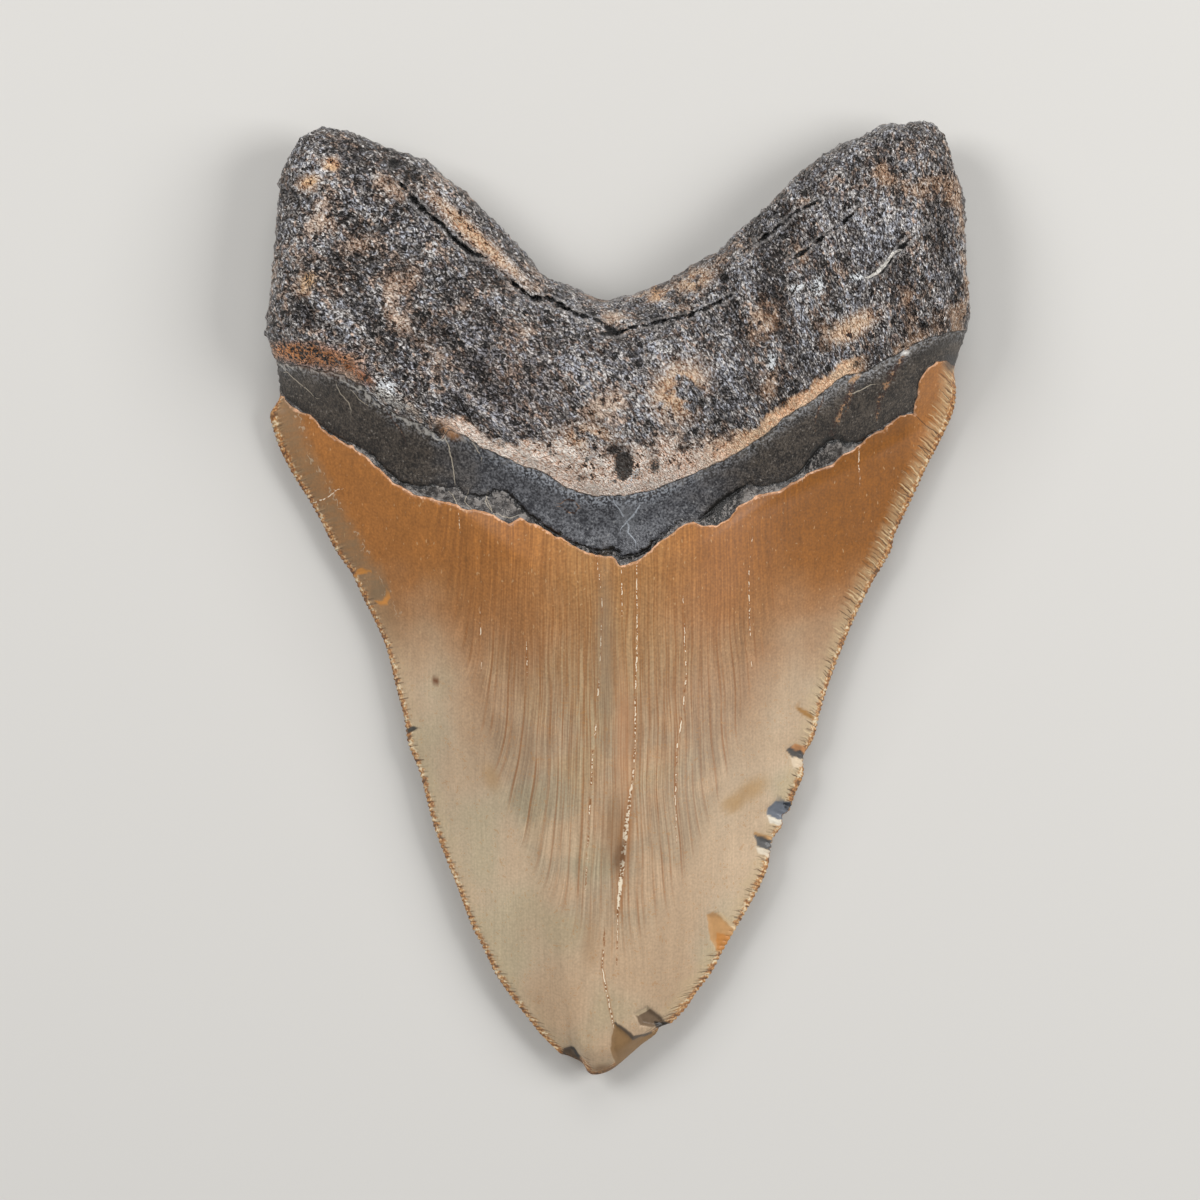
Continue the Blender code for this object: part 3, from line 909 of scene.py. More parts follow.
def fillCurve(mapping, points):
    mapping.extend = "HORIZONTAL"
    made = mapping.curves[0].points
    while len(made) < len(points):
        made.new(0.5, 0.5)
    for point, place in zip(made, points):
        point.location = place
        point.handle_type = "VECTOR"
    mapping.update()


def least(first, second):
    return first.math("MINIMUM", second)


def most(first, second):
    return first.math("MAXIMUM", second)


def other(wire, name):
    # another output of the same node
    return Wire(wire.socket.node.outputs[name])


def fade(value, start, end):
    # 0 at start to 1 at end, eased
    return Wire.node("ShaderNodeMapRange", {"interpolation_type": "SMOOTHSTEP"},
                     {"Value": value, "From Min": start, "From Max": end})


def blend(factor, under, over):
    return Wire.node("ShaderNodeMix", {}, {0: factor, 2: under, 3: over})


def colourOf(value):
    return paint(value) if isinstance(value, str) else value


def tint(factor, under, over):
    # colour mix: factor 0 shows under, 1 shows over
    return Wire.node("ShaderNodeMix", {"data_type": "RGBA"},
                     {0: factor, 6: colourOf(under), 7: colourOf(over)}, 2)


def stain(factor, colour, glass):
    # the colour as it looks behind a coloured glass
    return Wire.node("ShaderNodeMix", {"data_type": "RGBA", "blend_type": "MULTIPLY"},
                     {0: factor, 6: colour, 7: colourOf(glass)}, 2)


def shade(colour, factor):
    return stain(1.0, colour, Wire.node("ShaderNodeCombineColor", {}, {0: factor, 1: factor, 2: factor}))


def ramp(stops, value):
    stops = [(place, paint(code)) for place, code in stops]
    return Wire.node("ShaderNodeValToRGB", {"stops": stops}, {"Fac": value})


def curve(points, value):
    return Wire.node("ShaderNodeFloatCurve", {"curve": points}, {"Value": value})


def vectorOf(x, y, z=0.0):
    return Wire.node("ShaderNodeCombineXYZ", {}, {0: x, 1: y, 2: z})


def noise(vector, scale=1.0, detail=2.0, rough=0.5):
    return Wire.node("ShaderNodeTexNoise", {}, {"Vector": vector, "Scale": scale, "Detail": detail,
                                                "Roughness": rough})


def colourParts(wire):
    # the red of a node's Color output, whose node also gives the green and the blue
    return Wire.node("ShaderNodeSeparateColor", {}, {0: other(wire, "Color")})


def cells(vector, scale, feature="F1", flat=False):
    return Wire.node("ShaderNodeTexVoronoi",
                     {"feature": feature, "voronoi_dimensions": "2D" if flat else "3D"},
                     {"Vector": vector, "Scale": scale})


def strands(run, perMm, halfWidth, uneven=0.9):
    # thin lines at uneven distances, each with its own strength
    cell = Wire.node("ShaderNodeTexVoronoi", {"voronoi_dimensions": "1D"},
                     {"W": run, "Scale": perMm, "Randomness": uneven})
    return fade(cell, halfWidth * perMm, halfWidth * perMm * 0.25) * (0.25 + colourParts(cell))


def attribute(name):
    return Wire.node("ShaderNodeAttribute", {"attribute_name": name}, {}, 2)


def startMaterial(name):
    material = bpy.data.materials.new(name)
    material.use_nodes = True
    Wire.tree = material.node_tree
    return material, Wire.tree.nodes["Principled BSDF"]


lineForm = dict(
    span=144.0,   # mm that a line's curves cover
    trim=0.01, none=0.0002,   # mm off each half width, and what is left of it past the ends
    taper=0.004, flat=0.012,   # shares of the span. A step of the curve's table is shorter than flat - taper
    wander=0.25,
)
middleX = -0.7   # the crown's middle line


def readPlaces():
    # everything that the colours are worked out from: places in mm, and the zones' signed distances
    place = Wire.node("ShaderNodeTexCoord", {}, {}, 3)
    place = Wire.node("ShaderNodeVectorMath", {"operation": "SCALE"}, {0: place, "Scale": 1 / mm})
    x = Wire.node("ShaderNodeSeparateXYZ", {}, {0: place})
    here = dict(x=x, y=other(x, "Y"), z=other(x, "Z"), gaps={})
    names = ("enamelEdge", "rootEdge", "breakEdge", "rimDistance", "edgeRun", "hollow", "relief", "lingual",
             "tanShare", "purpleShare", "gashShare", "gritShare", "crackAway", "paleShare")
    for name in names:
        here[name] = attribute(name)
    ragged = colourParts(noise(place, 1.1, 1.0))
    here["raggedX"] = (ragged - 0.5) * 1.5
    here["raggedY"] = (other(ragged, "Green") - 0.5) * 1.5
    here["mottle"] = noise(place, 0.16, 1.0, 0.55)
    here["patches"] = noise(place, 0.07, 1.0, 0.6)
    here["clump"] = noise(place, 0.75, 1.0, 0.6)
    here["grit"] = noise(place, 3.0, 0.0)
    here["dashes"] = noise(vectorOf(x * 0.8, here["y"] * 0.55, 3.0), 1.0, 2.0, 0.75)
    here["off"] = x - middleX
    here["aside"] = abs(here["off"])
    here["farSide"] = (1.0 - here["lingual"]) * farAway
    span, wander = lineForm["span"], lineForm["wander"] / lineForm["span"]
    here["runX"], here["runY"] = x / span + 0.5, here["y"] / span + 0.5
    here["sideX"] = here["runX"] + here["raggedX"] * wander
    here["sideY"] = here["runY"] + here["raggedX"] * wander
    return here


def onSpan(value):
    return value / lineForm["span"] + 0.5


def gapsOf(here, whole):
    # what is broken out of a line, worked out once for each share that stays whole
    if whole not in here["gaps"]:
        here["gaps"][whole] = most(0.69 - 0.34 * whole - here["dashes"], 0.0) * 40.0
    return here["gaps"][whole]


def lineAway(here, points, width, whole, across):
    # distance in half widths from a line that is read as x from y, or as y from x where it runs across
    run, side = (here["runX"], here["sideY"]) if across else (here["runY"], here["sideX"])
    path = sorted((onSpan(px), onSpan(py)) if across else (onSpan(py), onSpan(px)) for px, py in points)
    start, end = path[0][0], path[-1][0]
    third, taper, flat = (end - start) / 3, lineForm["taper"], lineForm["flat"]
    full, none = (width - lineForm["trim"]) / lineForm["span"], lineForm["none"] / lineForm["span"]
    widths = [(start - flat, none), (start - taper, none), (start, full * 0.5), (start + third, full),
              (end - third, full), (end, full * 0.5), (end + taper, none), (end + flat, none)]
    away = abs(side - curve(path, run)) / curve(widths, run)
    return away + gapsOf(here, whole) if whole < 1 else away


def nearestLine(here, lines):
    away = lineAway(here, **lines[0])
    for line in lines[1:]:
        away = least(away, lineAway(here, **line))
    return away + here["farSide"]


enamelLook = dict(
    amber="#a0672f", amberMiddle="#a2784a", amberRight="#875111", beige="#bda283", low="#bda68b",
    lowPale="#cab69c", greyed="#ac9c85", patchWarm="#f3dfc8", patchCool="#dfe6d6",
    streak="#8f5a2a", speck="#a0703a", scuff="#d3b083", grain=0.34,
    streaksEndY=-53.0, streaksCurve=0.09, swing=3.4, swingLength=14.0,
    fineLines=1.75, fineWidth=0.15, wideLines=0.95, wideWidth=0.17,
    edgeOlive="#7d7058", edgeSheen="#c9b28a", fleck="#cfc3ab", creaseLight="#dcc59a", creaseDark="#4e3316",
    beadStops=((0.28, "#5f3c1c"), (0.42, "#a5672f"), (0.54, "#c9955b"), (0.68, "#ecd9b5")), tick="#4f3319",
    crackHalo="#9c6027", fillDark="#80552e", fillLight="#ecdfc6", edgeCrack="#3d2512", breakRimHighlight="#dba882",
    roughness=0.36, unevenRoughness=0.10,
)
# upright cracks in the crown, from top to bottom
crownCracks = (
    hairline(0.15, (2.8, 5.4), (2.9, -4.9), (2.6, -14.7), (2.6, -20.3), (2.4, -25.0), (1.8, -29.7),
             (1.2, -34.3), (0.7, -39.6), (0.1, -44.7), (0.0, -53.1), whole=0.6),
    hairline(0.44, (2.1, -27.5), (1.5, -31.7), (1.2, -34.3), (0.7, -39.0), (0.1, -46.0), whole=0.95),
    hairline(0.13, (-2.9, 6.2), (-2.8, 4.5), (-2.3, 1.2), (-2.2, -1.5), (-2.6, -10.9), (-3.1, -18.4),
             (-3.5, -22.2), (-4.0, -30.6), (-4.3, -35.8), (-4.6, -42.4), whole=0.5),
    hairline(0.13, (9.6, -0.2), (10.0, -10.9), (9.6, -16.5), (8.8, -21.2), (8.5, -28.3), (8.7, -35.3),
             whole=0.5),
    hairline(0.11, (19.8, 10.1), (19.1, 3.2), (19.4, -4.9), (19.8, -10.9), whole=0.4),
    hairline(0.1, (-20.0, -1.5), (-19.8, -10.0), whole=0.5),
    hairline(0.11, (-13.2, -6.6), (-13.1, -10.9), whole=0.8),
    hairline(0.13, (-1.8, -48.8), (-2.2, -54.0), (-1.5, -57.8), (-0.7, -61.5), (0.0, -65.6), whole=0.8),
    hairline(0.11, (0.6, 4.1), (0.7, -2.5), whole=0.5),
    hairline(0.13, (-45.1, 14.1), (-43.1, 14.7), (-41.9, 15.4), (-40.9, 16.3), across=True),
    hairline(0.08, (35.4, 22.3), (35.4, 19.7), (35.6, 17.2), whole=0.8),
    hairline(0.08, (26.9, 19.0), (27.0, 17.5), whole=0.8),
    hairline(0.09, (-23.0, 12.4), (-22.9, 10.2), whole=0.8),
)
# dark cracks that cross the cutting edges
edgeCracks = (
    hairline(0.13, (43.5, 27.3), (45.2, 25.7), (48.0, 24.0), across=True),
    hairline(0.11, (44.4, 22.5), (46.9, 21.5), across=True),
    hairline(0.13, (42.2, 15.4), (43.9, 14.7), across=True),
    hairline(0.2, (-31.6, -19.5), (-30.4, -19.1), (-29.4, -19.0), across=True),
    hairline(0.12, (-46.2, 13.5), (-44.9, 14.0), across=True),
)


def enamelStreaks(here):
    # the streaks run straight down and swing outward just above the curve where they end
    look, y, off = enamelLook, here["y"], here["off"]
    above = most(y - look["streaksEndY"] - off * off * look["streaksCurve"], -6.0)
    swing = (math.e ** (most(above, 0.0) / -look["swingLength"])) * (off / 8.0).math("TANH")
    swing = swing * (look["swing"] - 1.2 * fade(off, -4.0, 6.0) - 1.0 * fade(here["aside"], 14.0, 24.0))
    run = off - swing + (noise(vectorOf(here["x"] * 0.2, y * 0.09), 1.0, 0.0) - 0.5) * 0.9
    fine = noise(vectorOf(run * 3.4, y * 0.07, here["lingual"] * 9.0), 1.0, 2.0, 0.7)
    broken = fade(noise(vectorOf(run * 1.4, y * 0.16), 1.0, 1.0), 0.30, 0.50)
    upper = fade(above, 10.0, 38.0)
    ends = fade(above + (fine - 0.5) * 14.0, -1.0, 7.0)
    dense = strands(run, look["fineLines"], look["fineWidth"]) * (0.15 + 0.55 * upper)
    wide = strands(run + 31.0, look["wideLines"], look["wideWidth"]) * (1.0 - 0.45 * upper)
    lines = (dense + wide) * (0.35 + 0.65 * broken)
    lines = least(lines + fade(fine, 0.56, 0.42) * (0.14 + 0.5 * upper), 1.0) * ends
    return lines, fine, ends


def enamelGround(here, lines, fine, ends):
    # amber above, beige below, and more amber down the sides of the streaks
    look, x, y, off, aside = enamelLook, here["x"], here["y"], here["off"], here["aside"]
    patchy = (here["mottle"] - 0.5) * 9.0
    low = fade(aside, 19.0, 27.0) * 16.0 - fade(aside, 9.0, 15.0) * 7.0 - 24.0
    amber = fade(y + patchy, low, 8.0)
    warm = tint(fade(aside, 15.0, 3.0) * 0.8, look["amber"], look["amberMiddle"])
    onRight = fade(off, 12.0, 27.0) * fade(off, 46.0, 42.5) * fade(y, -4.0, 12.0)
    warm = tint(onRight, warm, look["amberRight"])
    beige = tint(fade(y, -18.0, -40.0), look["beige"], look["low"])
    sides = fade(aside + patchy * 0.6, 9.0, 17.0) * 0.8 * fade(y, 2.0, -14.0)
    beige = tint(sides, beige, look["lowPale"])
    streaked = ends * fade(y, -2.0, -22.0) * 0.75 * fade(here["mottle"], 0.36, 0.56)
    beige = tint(streaked, beige, look["greyed"])
    beige = stain(fade(here["patches"], 0.40, 0.60) * 0.4, beige, look["patchWarm"])
    beige = stain(fade(here["patches"], 0.56, 0.38) * 0.5, beige, look["patchCool"])
    colour = tint(amber, beige, warm)
    belt = fade(y, -38.0, -20.0) * fade(y, 12.0, -8.0) * (0.6 + 0.4 * fade(off, 0.0, 18.0))
    colour = shade(colour, 1.0 - 0.13 * belt)
    leftSide = fade(off, -8.0, -16.0) * fade(y, -40.0, -30.0) * fade(y, -12.0, -22.0)
    colour = shade(colour, 1.0 - 0.08 * leftSide)
    colour = shade(colour, 1.0 + (fine - 0.5) * (0.35 + 0.75 * ends))
    cloud = noise(vectorOf(x * 1.1, y * 0.5), 1.0, 2.0, 0.85)
    colour = shade(colour, 1.0 + (cloud - 0.5) * (0.15 + 0.5 * amber))
    colour = shade(colour, 0.90 + 0.20 * noise(vectorOf(x * 0.35, y * 0.06, 5.0), 1.0, 1.0))
    colour = tint(lines * (0.62 - 0.1 * amber), colour, look["streak"])
    colour = shade(colour, 1.0 + look["grain"] * (here["grit"] - 0.5) * (1.0 + 0.6 * amber))
    speck = fade(here["clump"] * 0.5 + here["grit"] * 0.5, 0.62, 0.68) * fade(y, 0.0, -20.0)
    colour = tint(speck * 0.4, colour, look["speck"])
    scuff = fade(noise(vectorOf(x * 2.0, y * 0.9, 2.0), 1.0, 1.0, 0.85), 0.68, 0.74) * (0.4 + 0.6 * amber)
    return tint(scuff * 0.4, colour, look["scuff"])


def cuttingEdges(here, colour):
    # the cutting edges are thin and paler, with short creases across them; the paler band is a painted
    # reflection off the bevelled edges, strongest on the right
    look, y, rim, run, off = enamelLook, here["y"], here["rimDistance"], here["edgeRun"], here["off"]
    crease = noise(vectorOf(run * 1.5, rim * 0.22), 1.0, 1.0, 0.7)
    bead = noise(vectorOf(run * 1.2, rim * 1.1), 1.0, 1.0, 0.8)
    left, right = fade(off, -4.0, -10.0), fade(off, 4.0, 10.0)
    onTop = fade(y, -12.0, 4.0)
    olive = rim + (here["mottle"] - 0.5) * 1.8 + (here["dashes"] - 0.5) * 2.0
    olive = fade(olive, 5.4, 2.4) * left * onTop
    colour = tint(olive * (0.3 + 0.5 * crease), colour, look["edgeOlive"])
    flecks = fade(abs(rim + here["raggedX"] * 2.2 - 3.6), 0.22, 0.05) * fade(here["clump"], 0.48, 0.56)
    colour = tint(flecks * left * onTop * 0.35, colour, look["fleck"])
    # painted reflection: the bevelled edges paler, most on the right side
    pale = fade(rim + (crease - 0.5) * 3.0, 3.2, 0.7) * (right * 0.55 + left * 0.3 * (1.0 - onTop))
    colour = tint(pale * (0.35 + 0.7 * here["dashes"]), colour, look["edgeSheen"])
    reach = 0.6 + 5.2 * (crease - 0.2) * (0.35 + 0.65 * right) * (0.5 + 0.5 * onTop)
    nearRim = fade(rim - reach, 0.5, -0.5)
    bent = run + here["raggedX"] * 0.28 - rim * 0.12
    lightLines = strands(bent + 9.0, 1.35, 0.14) * nearRim * (0.2 + 0.4 * right)
    darkLines = strands(bent, 1.5, 0.13) * nearRim * (0.25 + 0.5 * right)
    colour = tint(lightLines, colour, look["creaseLight"])
    colour = tint(darkLines, colour, look["creaseDark"])
    beads = ramp(look["beadStops"], bead + (here["grit"] - 0.5) * 0.5)
    colour = tint(fade(rim + (crease - 0.5) * 1.4, 0.95, 0.45) * 0.85, colour, beads)
    ticks = strands(run, 1.0 / wear["serrationPitch"], 0.13, 0.45) * fade(rim + (bead - 0.5) * 2.4, 1.3, 0.8)
    return tint(ticks * 0.6, colour, look["tick"])


def enamelCracks(here, colour):
    look = enamelLook
    away = nearestLine(here, crownCracks)
    colour = tint(fade(away, 3.4, 1.0) * 0.45, colour, look["crackHalo"])
    filling = fade(here["grit"] + (here["clump"] - 0.5) * 1.2, 0.34, 0.60)
    colour = tint(fade(away, 1.0, 0.5) * 0.9, colour, tint(filling, look["fillDark"], look["fillLight"]))
    colour = tint(fade(nearestLine(here, edgeCracks), 1.0, 0.4) * 0.8, colour, look["edgeCrack"])
    # painted highlight: a pale orange rim along the enamel's broken edge
    border = fade(here["enamelEdge"] + here["raggedX"] * 0.5 + (here["grit"] - 0.5) * 0.4, 0.30, 0.12)
    return tint(border * (0.3 + fade(here["clump"], 0.4, 0.58) * 0.65), colour, look["breakRimHighlight"])


def enamelPaint(here):
    # colour and roughness
    colour = enamelGround(here, *enamelStreaks(here))
    colour = enamelCracks(here, cuttingEdges(here, colour))
    return colour, enamelLook["roughness"] + enamelLook["unevenRoughness"] * here["dashes"]


bourletteLook = dict(
    dark="#1a1511", light="#51483f", sheenBlueDark="#2e2f34", sheenBlueLight="#727479",
    # border: the colour of the painted glint fringe along the top
    border="#a3a8b0", edge="#bdb8b0", glint="#bdbab4",
    # gap: near black, the painted shade in the crack and the gashes
    gap="#0d0b09", brokenDark="#2c2826", brokenLight="#8b8580",
    crackPale="#b3a896", crackBlue="#adb3bb", crackDark="#35231b", crackTan="#a07a58",
    middleX=-4.0, height=0.35, roughness=0.44, unevenRoughness=-0.1,
)
# pale cracks in the bourlette
paleCracks = (
    hairline(0.14, (-48.7, 33.5), (-47.0, 31.9), (-45.1, 30.4), (-44.1, 29.2), whole=0.8, across=True),
    hairline(0.13, (-41.0, 31.3), (-40.3, 29.8), (-39.1, 28.5), (-38.8, 27.2), whole=0.95),
    hairline(0.12, (-38.7, 30.5), (-37.5, 28.9), (-36.0, 28.0), whole=0.95, across=True),
    hairline(0.14, (-27.5, 25.5), (-25.1, 23.8), (-24.4, 21.9), (-23.8, 18.9), (-23.6, 17.0), whole=0.95),
    hairline(0.13, (-21.2, 22.9), (-20.3, 21.7), (-19.6, 20.4), whole=0.95),
    hairline(0.1, (-25.1, 16.1), (-23.8, 15.1), (-23.4, 13.9), (-22.9, 12.5), whole=0.95),
    hairline(0.08, (-19.0, 14.8), (-18.5, 13.6), (-18.1, 12.5), whole=0.95),
    hairline(0.12, (34.0, 29.7), (36.0, 30.7), (37.3, 31.3), whole=0.8, across=True),
    hairline(0.2, (-0.6, 14.1), (0.7, 12.3), (1.6, 10.8), (1.6, 9.4), (2.8, 8.2), whole=0.8),
    hairline(0.2, (3.4, 13.8), (2.5, 12.3), (1.3, 11.0), (0.4, 10.0), whole=0.8),
    hairline(0.1, (-18.7, 15.4), (-19.1, 13.8), (-17.6, 12.0), whole=0.95),
    hairline(0.1, (-21.6, 15.6), (-22.2, 14.2), (-20.9, 12.8), whole=0.95),
    hairline(0.1, (-17.6, 12.4), (-15.6, 11.6), (-14.2, 12.2), whole=0.95, across=True),
)
# rougher ones, filled with a dark and a tan earth
tanCracks = (
    hairline(0.14, (-8.2, 13.6), (-7.7, 14.2), (-6.9, 14.4), (-6.1, 14.1), (-5.6, 13.4), across=True),
    hairline(0.14, (-8.2, 13.4), (-7.5, 12.8), (-6.7, 12.4), (-6.0, 12.5), (-5.6, 13.2), across=True),
    hairline(0.14, (-36.0, 31.0), (-33.7, 27.5), (-32.3, 25.5), (-31.3, 24.2), (-30.7, 22.5), whole=0.8),
    hairline(0.18, (30.4, 30.7), (29.5, 28.0), (28.8, 26.3), (28.7, 24.8), whole=0.6),
    hairline(0.6, (34.5, 31.7), (33.8, 29.8), (32.8, 27.5), (31.8, 25.5), (31.2, 23.3), whole=0.8),
    hairline(0.55, (42.6, 37.3), (41.6, 35.1), (40.3, 33.3), (39.2, 31.0), (38.2, 29.2), (37.9, 26.6),
             whole=0.8),
)


def bourletteGround(here, aside, fibre, wrinkle):
    # brown towards the sides, with a painted bluish sheen in the middle and a painted pale glint fringe where
    # the root begins
    look, x, y = bourletteLook, here["x"], here["y"]
    cloudy = noise(vectorOf(x * 0.3, y * 0.42), 1.0, 1.0, 0.6)
    tone = (fibre - 0.5) * 1.9 + (here["grit"] - 0.5) * 1.3 + (here["clump"] - 0.5) * 0.5
    tone = tone + (cloudy - 0.5) * 0.9 - fade(here["breakEdge"], -2.4, -0.2) * 0.16
    tone = least(fade(tone, -0.5, 0.62) + wrinkle * 0.5, 1.0)
    brown = tint(tone, look["dark"], look["light"])
    # painted sheen: the middle of the band bluer and lighter than its brown sides
    sheenBlue = tint(tone, look["sheenBlueDark"], look["sheenBlueLight"])
    colour = tint(fade(aside + (cloudy - 0.5) * 12.0, 26.0, 10.0) * 0.9, brown, sheenBlue)
    root = here["rootEdge"] + here["raggedY"] * 0.7
    # painted glint: a pale bluish fringe along the top border, strongest in the middle
    glintFringe = fade(root, -2.4, -0.1) * fade(fibre + (here["grit"] - 0.5) * 0.8, 0.44, 0.66)
    colour = tint(glintFringe * (0.35 + 0.65 * fade(aside, 15.0, 7.0)), colour, look["border"])
    ridge = fade(abs(root + 0.4 + (here["clump"] - 0.5) * 2.4), 0.42, 0.05) * fade(here["dashes"], 0.40, 0.52)
    return tint(ridge * (0.12 + 0.55 * fade(x, -18.0, -27.0)), colour, look["edge"])


def bourletteCracks(here, aside, colour):
    look = bourletteLook
    pale = tint(fade(aside, 12.0, 7.0), look["crackPale"], look["crackBlue"])
    colour = tint(fade(nearestLine(here, paleCracks), 1.0, 0.4) * 0.8, colour, pale)
    earth = fade(here["clump"] + (here["grit"] - 0.5) * 0.6, 0.50, 0.64)
    away = nearestLine(here, tanCracks) + (here["grit"] - 0.5) * 3.0
    return tint(fade(away, 1.2, 0.6) * 0.85, colour, tint(earth, look["crackDark"], look["crackTan"]))


def bourlettePaint(here):
    # colour, height and roughness
    look, x, y = bourletteLook, here["x"], here["y"]
    aside = abs(x - look["middleX"])
    fibre = noise(vectorOf(x * 2.2, y * 1.5, here["z"] * 0.7), 1.0, 2.0, 1.0)
    bent = vectorOf(x + here["raggedX"] * 2.0, y + here["raggedY"] * 2.0)
    wrinkle = fade(cells(bent, 0.62, "DISTANCE_TO_EDGE", True), 0.09, 0.0) * fade(here["clump"], 0.38, 0.56)
    colour = bourletteGround(here, aside, fibre, wrinkle)
    # between the crack and the enamel lie broken bits
    broken = fade(here["breakEdge"], 0.0, 0.12)
    bits = fade(here["clump"] * 1.1 + fibre * 0.5 - wrinkle * 0.3, 0.62, 0.98)
    colour = tint(broken * 0.85, colour, tint(bits, look["brokenDark"], look["brokenLight"]))
    # painted shade: near black in the gashes among the broken bits
    colour = tint(broken * here["gashShare"] * fade(fibre, 0.62, 0.46), colour, look["gap"])
    colour = bourletteCracks(here, aside, colour)
    # painted shade: the crack along the break line is near black
    width = curve([(onSpan(px), half) for px, half in breakWidths], here["runX"])
    away = abs(here["breakEdge"] + here["raggedX"] * 0.9 + (here["grit"] - 0.5) * 0.9)
    gap = fade(away - width * (0.1 + 1.4 * here["dashes"]), 0.12, -0.05)
    colour = tint(gap, colour, look["gap"])
    glint = fade(here["grit"] + (fibre - 0.5) * 0.6, 0.76, 0.86) * 0.25
    colour = tint(glint * (1.0 - gap), colour, look["glint"])
    return colour, fibre * look["height"], look["roughness"] + look["unevenRoughness"] * fibre


boneLook = dict(
    level=0.49, fine=1.7, worm=0.34, grains=0.34, clump=0.2, coarse=0.24, relief=0.28, pits=0.42,
    stretch=0.46, pitSpacing=0.62,
    # the lightest stops of both ramps are painted glints on the grains
    stops=((0.12, "#171310"), (0.29, "#3a332f"), (0.42, "#5d5652"), (0.5, "#756e6a"), (0.58, "#8a8480"),
           (0.71, "#aca7a4"), (0.88, "#e6e2df")),
    tanStops=((0.08, "#281b14"), (0.22, "#67503f"), (0.34, "#b89278"), (0.44, "#dcb398"), (0.54, "#e8c5ae"),
              (0.68, "#f2ddcd"), (0.88, "#fdf2e6")),
    cool="#bccbe6", warm="#e9b687", purple="#a08478", golden="#efcfa2",
    grit="#eef1f3", ridge="#c4bfbc", shadeBlack="#0c0a09", filling="#f4efe6",
    fineHeight=1.6, wormHeight=0.5, roughness=0.42, unevenRoughness=-0.16,
)
# a crack on the right lobe that is filled with something white
boneStripes = (
    hairline(0.5, (36.5, 46.7), (37.8, 47.5), (39.0, 48.6), (40.0, 50.1), (41.0, 50.8), across=True),
)


def readBone(here):
    # short strokes fan out over the root, with little pits among them; their brightness is partly painted
    # light and shade, lighter on peaks and ridges, darker in valleys and pits
    look, x, y, clump = boneLook, here["x"], here["y"], here["clump"]
    fromX, fromY = wear["strokesFrom"]
    awayX, awayY = x - fromX, y - fromY
    reach = (awayX * awayX + awayY * awayY) ** 0.5
    turn = awayY.math("ARCTAN2", awayX)
    strokes = vectorOf(turn * wear["strokeReach"], reach * look["stretch"], here["z"] * 0.8)
    fine = noise(strokes, 3.6, 1.0, 0.9)
    grains = cells(strokes, 1.7)
    worm = fade(abs(noise(strokes, 2.3, 0.0) - 0.5), 0.0, 0.075)
    coarse = noise(strokes, 0.33, 0.0)
    pit = cells(vectorOf(x + here["raggedX"] * 0.5, y + here["raggedY"] * 0.3), look["pitSpacing"], flat=True)
    own = colourParts(pit)
    pits = fade(pit - own * 0.34 + (fine - 0.5) * 0.7, 0.03, -0.07) * fade(other(own, "Green"), 0.52, 0.60)
    bright = (fine - 0.5) * look["fine"] + (0.45 - grains) * look["grains"] + (coarse - 0.5) * look["coarse"]
    bright = bright + (worm - 0.66) * look["worm"] + here["tanShare"] * 0.05 + here["paleShare"] * 0.10
    # painted light and shade: the relief's ridges lighter, its valleys darker
    bright = bright + (clump - 0.5) * look["clump"] + here["relief"] * look["relief"] + look["level"]
    # painted shade: the little pits darker
    bright = bright - pits * look["pits"]
    here.update(strokes=strokes, fine=fine, grains=grains, worm=worm, coarse=coarse, bright=bright)


def stoneColour(here):
    # grey, bluish in places and rusty in others; the lightest grains are painted glints, bluish where the
    # cool tint falls
    look = boneLook
    hue = colourParts(noise(here["strokes"], 1.8, 0.0))
    warmer = fade(hue + (here["mottle"] - 0.5) * 0.9, 0.54, 0.66)
    cooler = fade(other(hue, "Green") - (here["mottle"] - 0.5) * 0.5, 0.49, 0.62)
    stone = stain(cooler * 0.55, ramp(look["stops"], here["bright"]), look["cool"])
    stone = stain(warmer * 0.55, stone, look["warm"])
    return stain(here["purpleShare"] * 0.35, stone, look["purple"])


def tanColour(here, stone):
    # tan over the stone: a band where the root begins, and patches
    look, x, coarse, clump = boneLook, here["x"], here["coarse"], here["clump"]
    calm = 0.74 + (here["bright"] - 0.60) * (0.45 + 0.55 * fade(here["rootEdge"], 0.8, 3.2))
    warm = most(fade(here["mottle"], 0.58, 0.72) * 0.5, here["tanShare"])
    warm = warm * fade(coarse + (clump - 0.5) * 0.6, 0.28, 0.48)
    width = 2.4 + 5.2 * fade(abs(x - 0.5), 19.0, 5.0)
    ragged = (coarse - 0.5) * 4.0 + (here["grains"] - 0.45) * 1.6 - (clump - 0.5) * 4.0
    band = fade(here["rootEdge"] + ragged * (width / 8.0 + 0.08), width, width * 0.55)
    band = band * fade(x, -27.0, -25.0) * fade(x, 37.0, 33.5)
    golden = most(warm * (1.0 - band) * 0.8, fade(x, 8.0, 20.0) * 0.7)
    tan = stain(golden, ramp(look["tanStops"], calm), look["golden"])
    return tint(most(band, warm * 0.7) * here["lingual"], stone, tan)


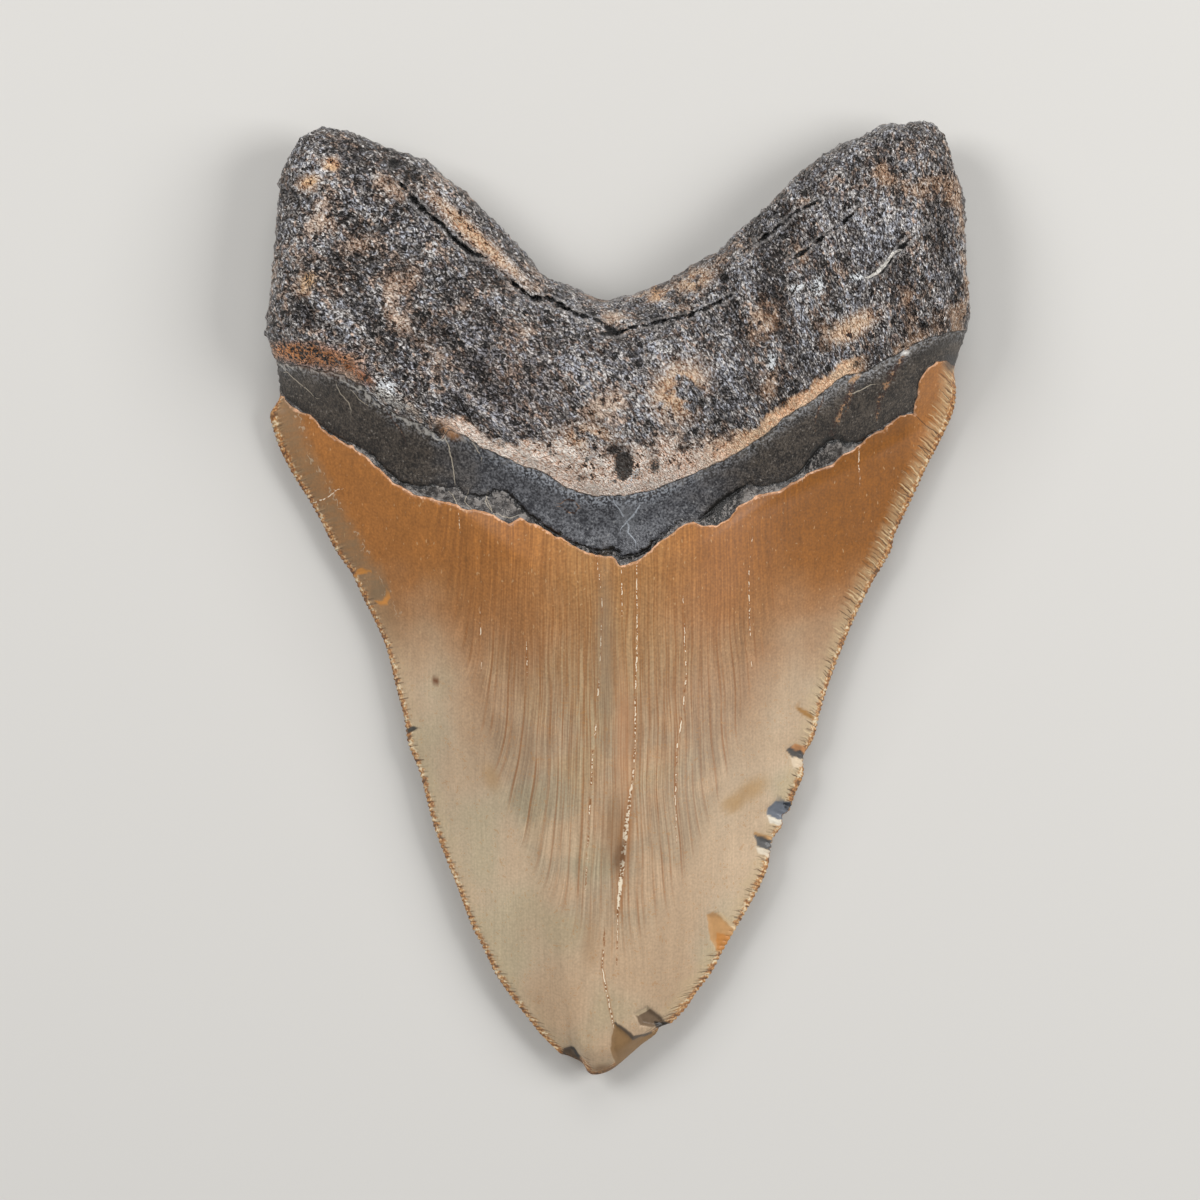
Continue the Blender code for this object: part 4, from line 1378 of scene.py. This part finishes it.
def bonePaint(here):
    # colour, height and roughness
    readBone(here)
    look, fine = boneLook, here["fine"]
    colour = tanColour(here, stoneColour(here))
    gritty = fade(fine + here["gritShare"] * 0.16, 0.60, 0.66) * here["gritShare"]
    colour = tint(gritty, colour, look["grit"])
    # painted highlight along the rims of the root's cracks, and painted shade: their cores and the deep
    # hollows near black
    crack = here["crackAway"] + (here["grit"] - 0.5) * 0.45 + (here["clump"] - 0.5) * 0.7
    colour = tint(fade(abs(crack - 0.42), 0.30, 0.08) * 0.3, colour, look["ridge"])
    deep = fade(here["hollow"] + (fine - 0.5) * 0.9, 0.30, 0.62) * 0.92
    colour = tint(most(deep, fade(crack, 0.10, -0.02)), colour, look["shadeBlack"])
    colour = tint(fade(nearestLine(here, boneStripes), 1.0, 0.5), colour, look["filling"])
    height = fine * look["fineHeight"] + here["worm"] * look["wormHeight"]
    return colour, height, look["roughness"] + look["unevenRoughness"] * fine


def addStains(here, colour, onRoot):
    # stains cover the grain in part, so that it shows through them
    stains = Wire.node("ShaderNodeAttribute", {"attribute_name": "stains"}, {})
    cover = other(stains, "Alpha")
    bare = shade(stains, 1.0 / most(cover, 0.01))
    patchy = blend(onRoot, 0.75 + 0.5 * here["dashes"], 0.3 + 1.4 * here["bright"])
    cover = cover * blend(onRoot, 1.0, fade(here["bright"], 0.34, 0.56))
    return tint(cover, colour, shade(bare, patchy))


def makeToothMaterial():
    material, shader = startMaterial("fossilTooth")
    here = readPlaces()
    enamel, enamelRough = enamelPaint(here)
    bourlette, bourletteHeight, bourletteRough = bourlettePaint(here)
    bone, boneHeight, boneRough = bonePaint(here)
    onRoot = fade(here["rootEdge"] + here["raggedY"] * 0.25, -0.08, 0.08)
    onEnamel = fade(here["enamelEdge"] + here["raggedY"] * 0.15, -0.05, 0.05)
    colour = addStains(here, tint(onEnamel, tint(onRoot, bourlette, bone), enamel), onRoot)
    roughness = blend(onEnamel, blend(onRoot, bourletteRough, boneRough), enamelRough)
    height = blend(fade(here["rootEdge"], -0.1, 0.1), bourletteHeight, boneHeight)
    height = height * fade(here["enamelEdge"], 0.05, -0.05)
    bump = Wire.node("ShaderNodeBump", {}, {"Height": height, "Distance": 0.0005, "Strength": 1.0})
    for name, wire in (("Base Color", colour), ("Roughness", roughness), ("Normal", bump)):
        Wire.tree.links.new(wire.socket, shader.inputs[name])
    return material


tooth.data.calc_loop_triangles()
print("material,", len(tooth.data.loop_triangles), "triangles")
tooth.data.materials.clear()
tooth.data.materials.append(makeToothMaterial())
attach(tooth, "root")
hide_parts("tooth")

studio = dict(
    floorSize=1.6, floorColour="#cac8c4", floorRoughness=0.9,
    worldColour=(1.0, 1.0, 1.0, 1.0), worldStrength=0.29,
    cameraPlace=(-2.5, -0.18), lens=180.0, sensor=36.0, frameWidth=176.4, sharpHeight=7.0,
    lamps=(
        dict(name="keyLamp", place=(-0.62, 0.35, 0.62), size=0.45, power=5.2),
        dict(name="fillLamp", place=(0.66, 0.10, 0.55), size=0.45, power=5.2),
        dict(name="topLamp", place=(0.05, 0.75, 0.60), size=0.40, power=2.2),
    ),
)


def makeFloor():
    bpy.ops.object.select_all(action="DESELECT")
    bpy.ops.mesh.primitive_plane_add(size=studio["floorSize"])
    floor = bpy.context.object
    floor.name = "floor"
    material, shader = startMaterial("floorPaper")
    shader.inputs["Base Color"].default_value = paint(studio["floorColour"])
    shader.inputs["Roughness"].default_value = studio["floorRoughness"]
    floor.data.materials.append(material)


def makeLamp(name, place, size, power):
    bpy.ops.object.light_add(type="AREA", location=place)
    lamp = bpy.context.object
    lamp.name = name
    lamp.data.size = size
    lamp.data.energy = power
    lamp.rotation_euler = (-lamp.location).to_track_quat("-Z", "Y").to_euler()


def makeCamera():
    height = studio["frameWidth"] * studio["lens"] / studio["sensor"] + studio["sharpHeight"]
    x, y = studio["cameraPlace"]
    bpy.ops.object.camera_add(location=(x * mm, y * mm, height * mm), rotation=(0, 0, 0))
    camera = bpy.context.object
    camera.data.lens = studio["lens"]
    camera.data.sensor_width = studio["sensor"]
    bpy.context.scene.camera = camera


print("studio")
makeFloor()
for lamp in studio["lamps"]:
    makeLamp(**lamp)
makeCamera()
world = bpy.data.worlds.new("studio")
bpy.context.scene.world = world
world.use_nodes = True
background = world.node_tree.nodes["Background"]
background.inputs["Color"].default_value = studio["worldColour"]
background.inputs["Strength"].default_value = studio["worldStrength"]
bpy.context.scene.view_settings.view_transform = "Standard"
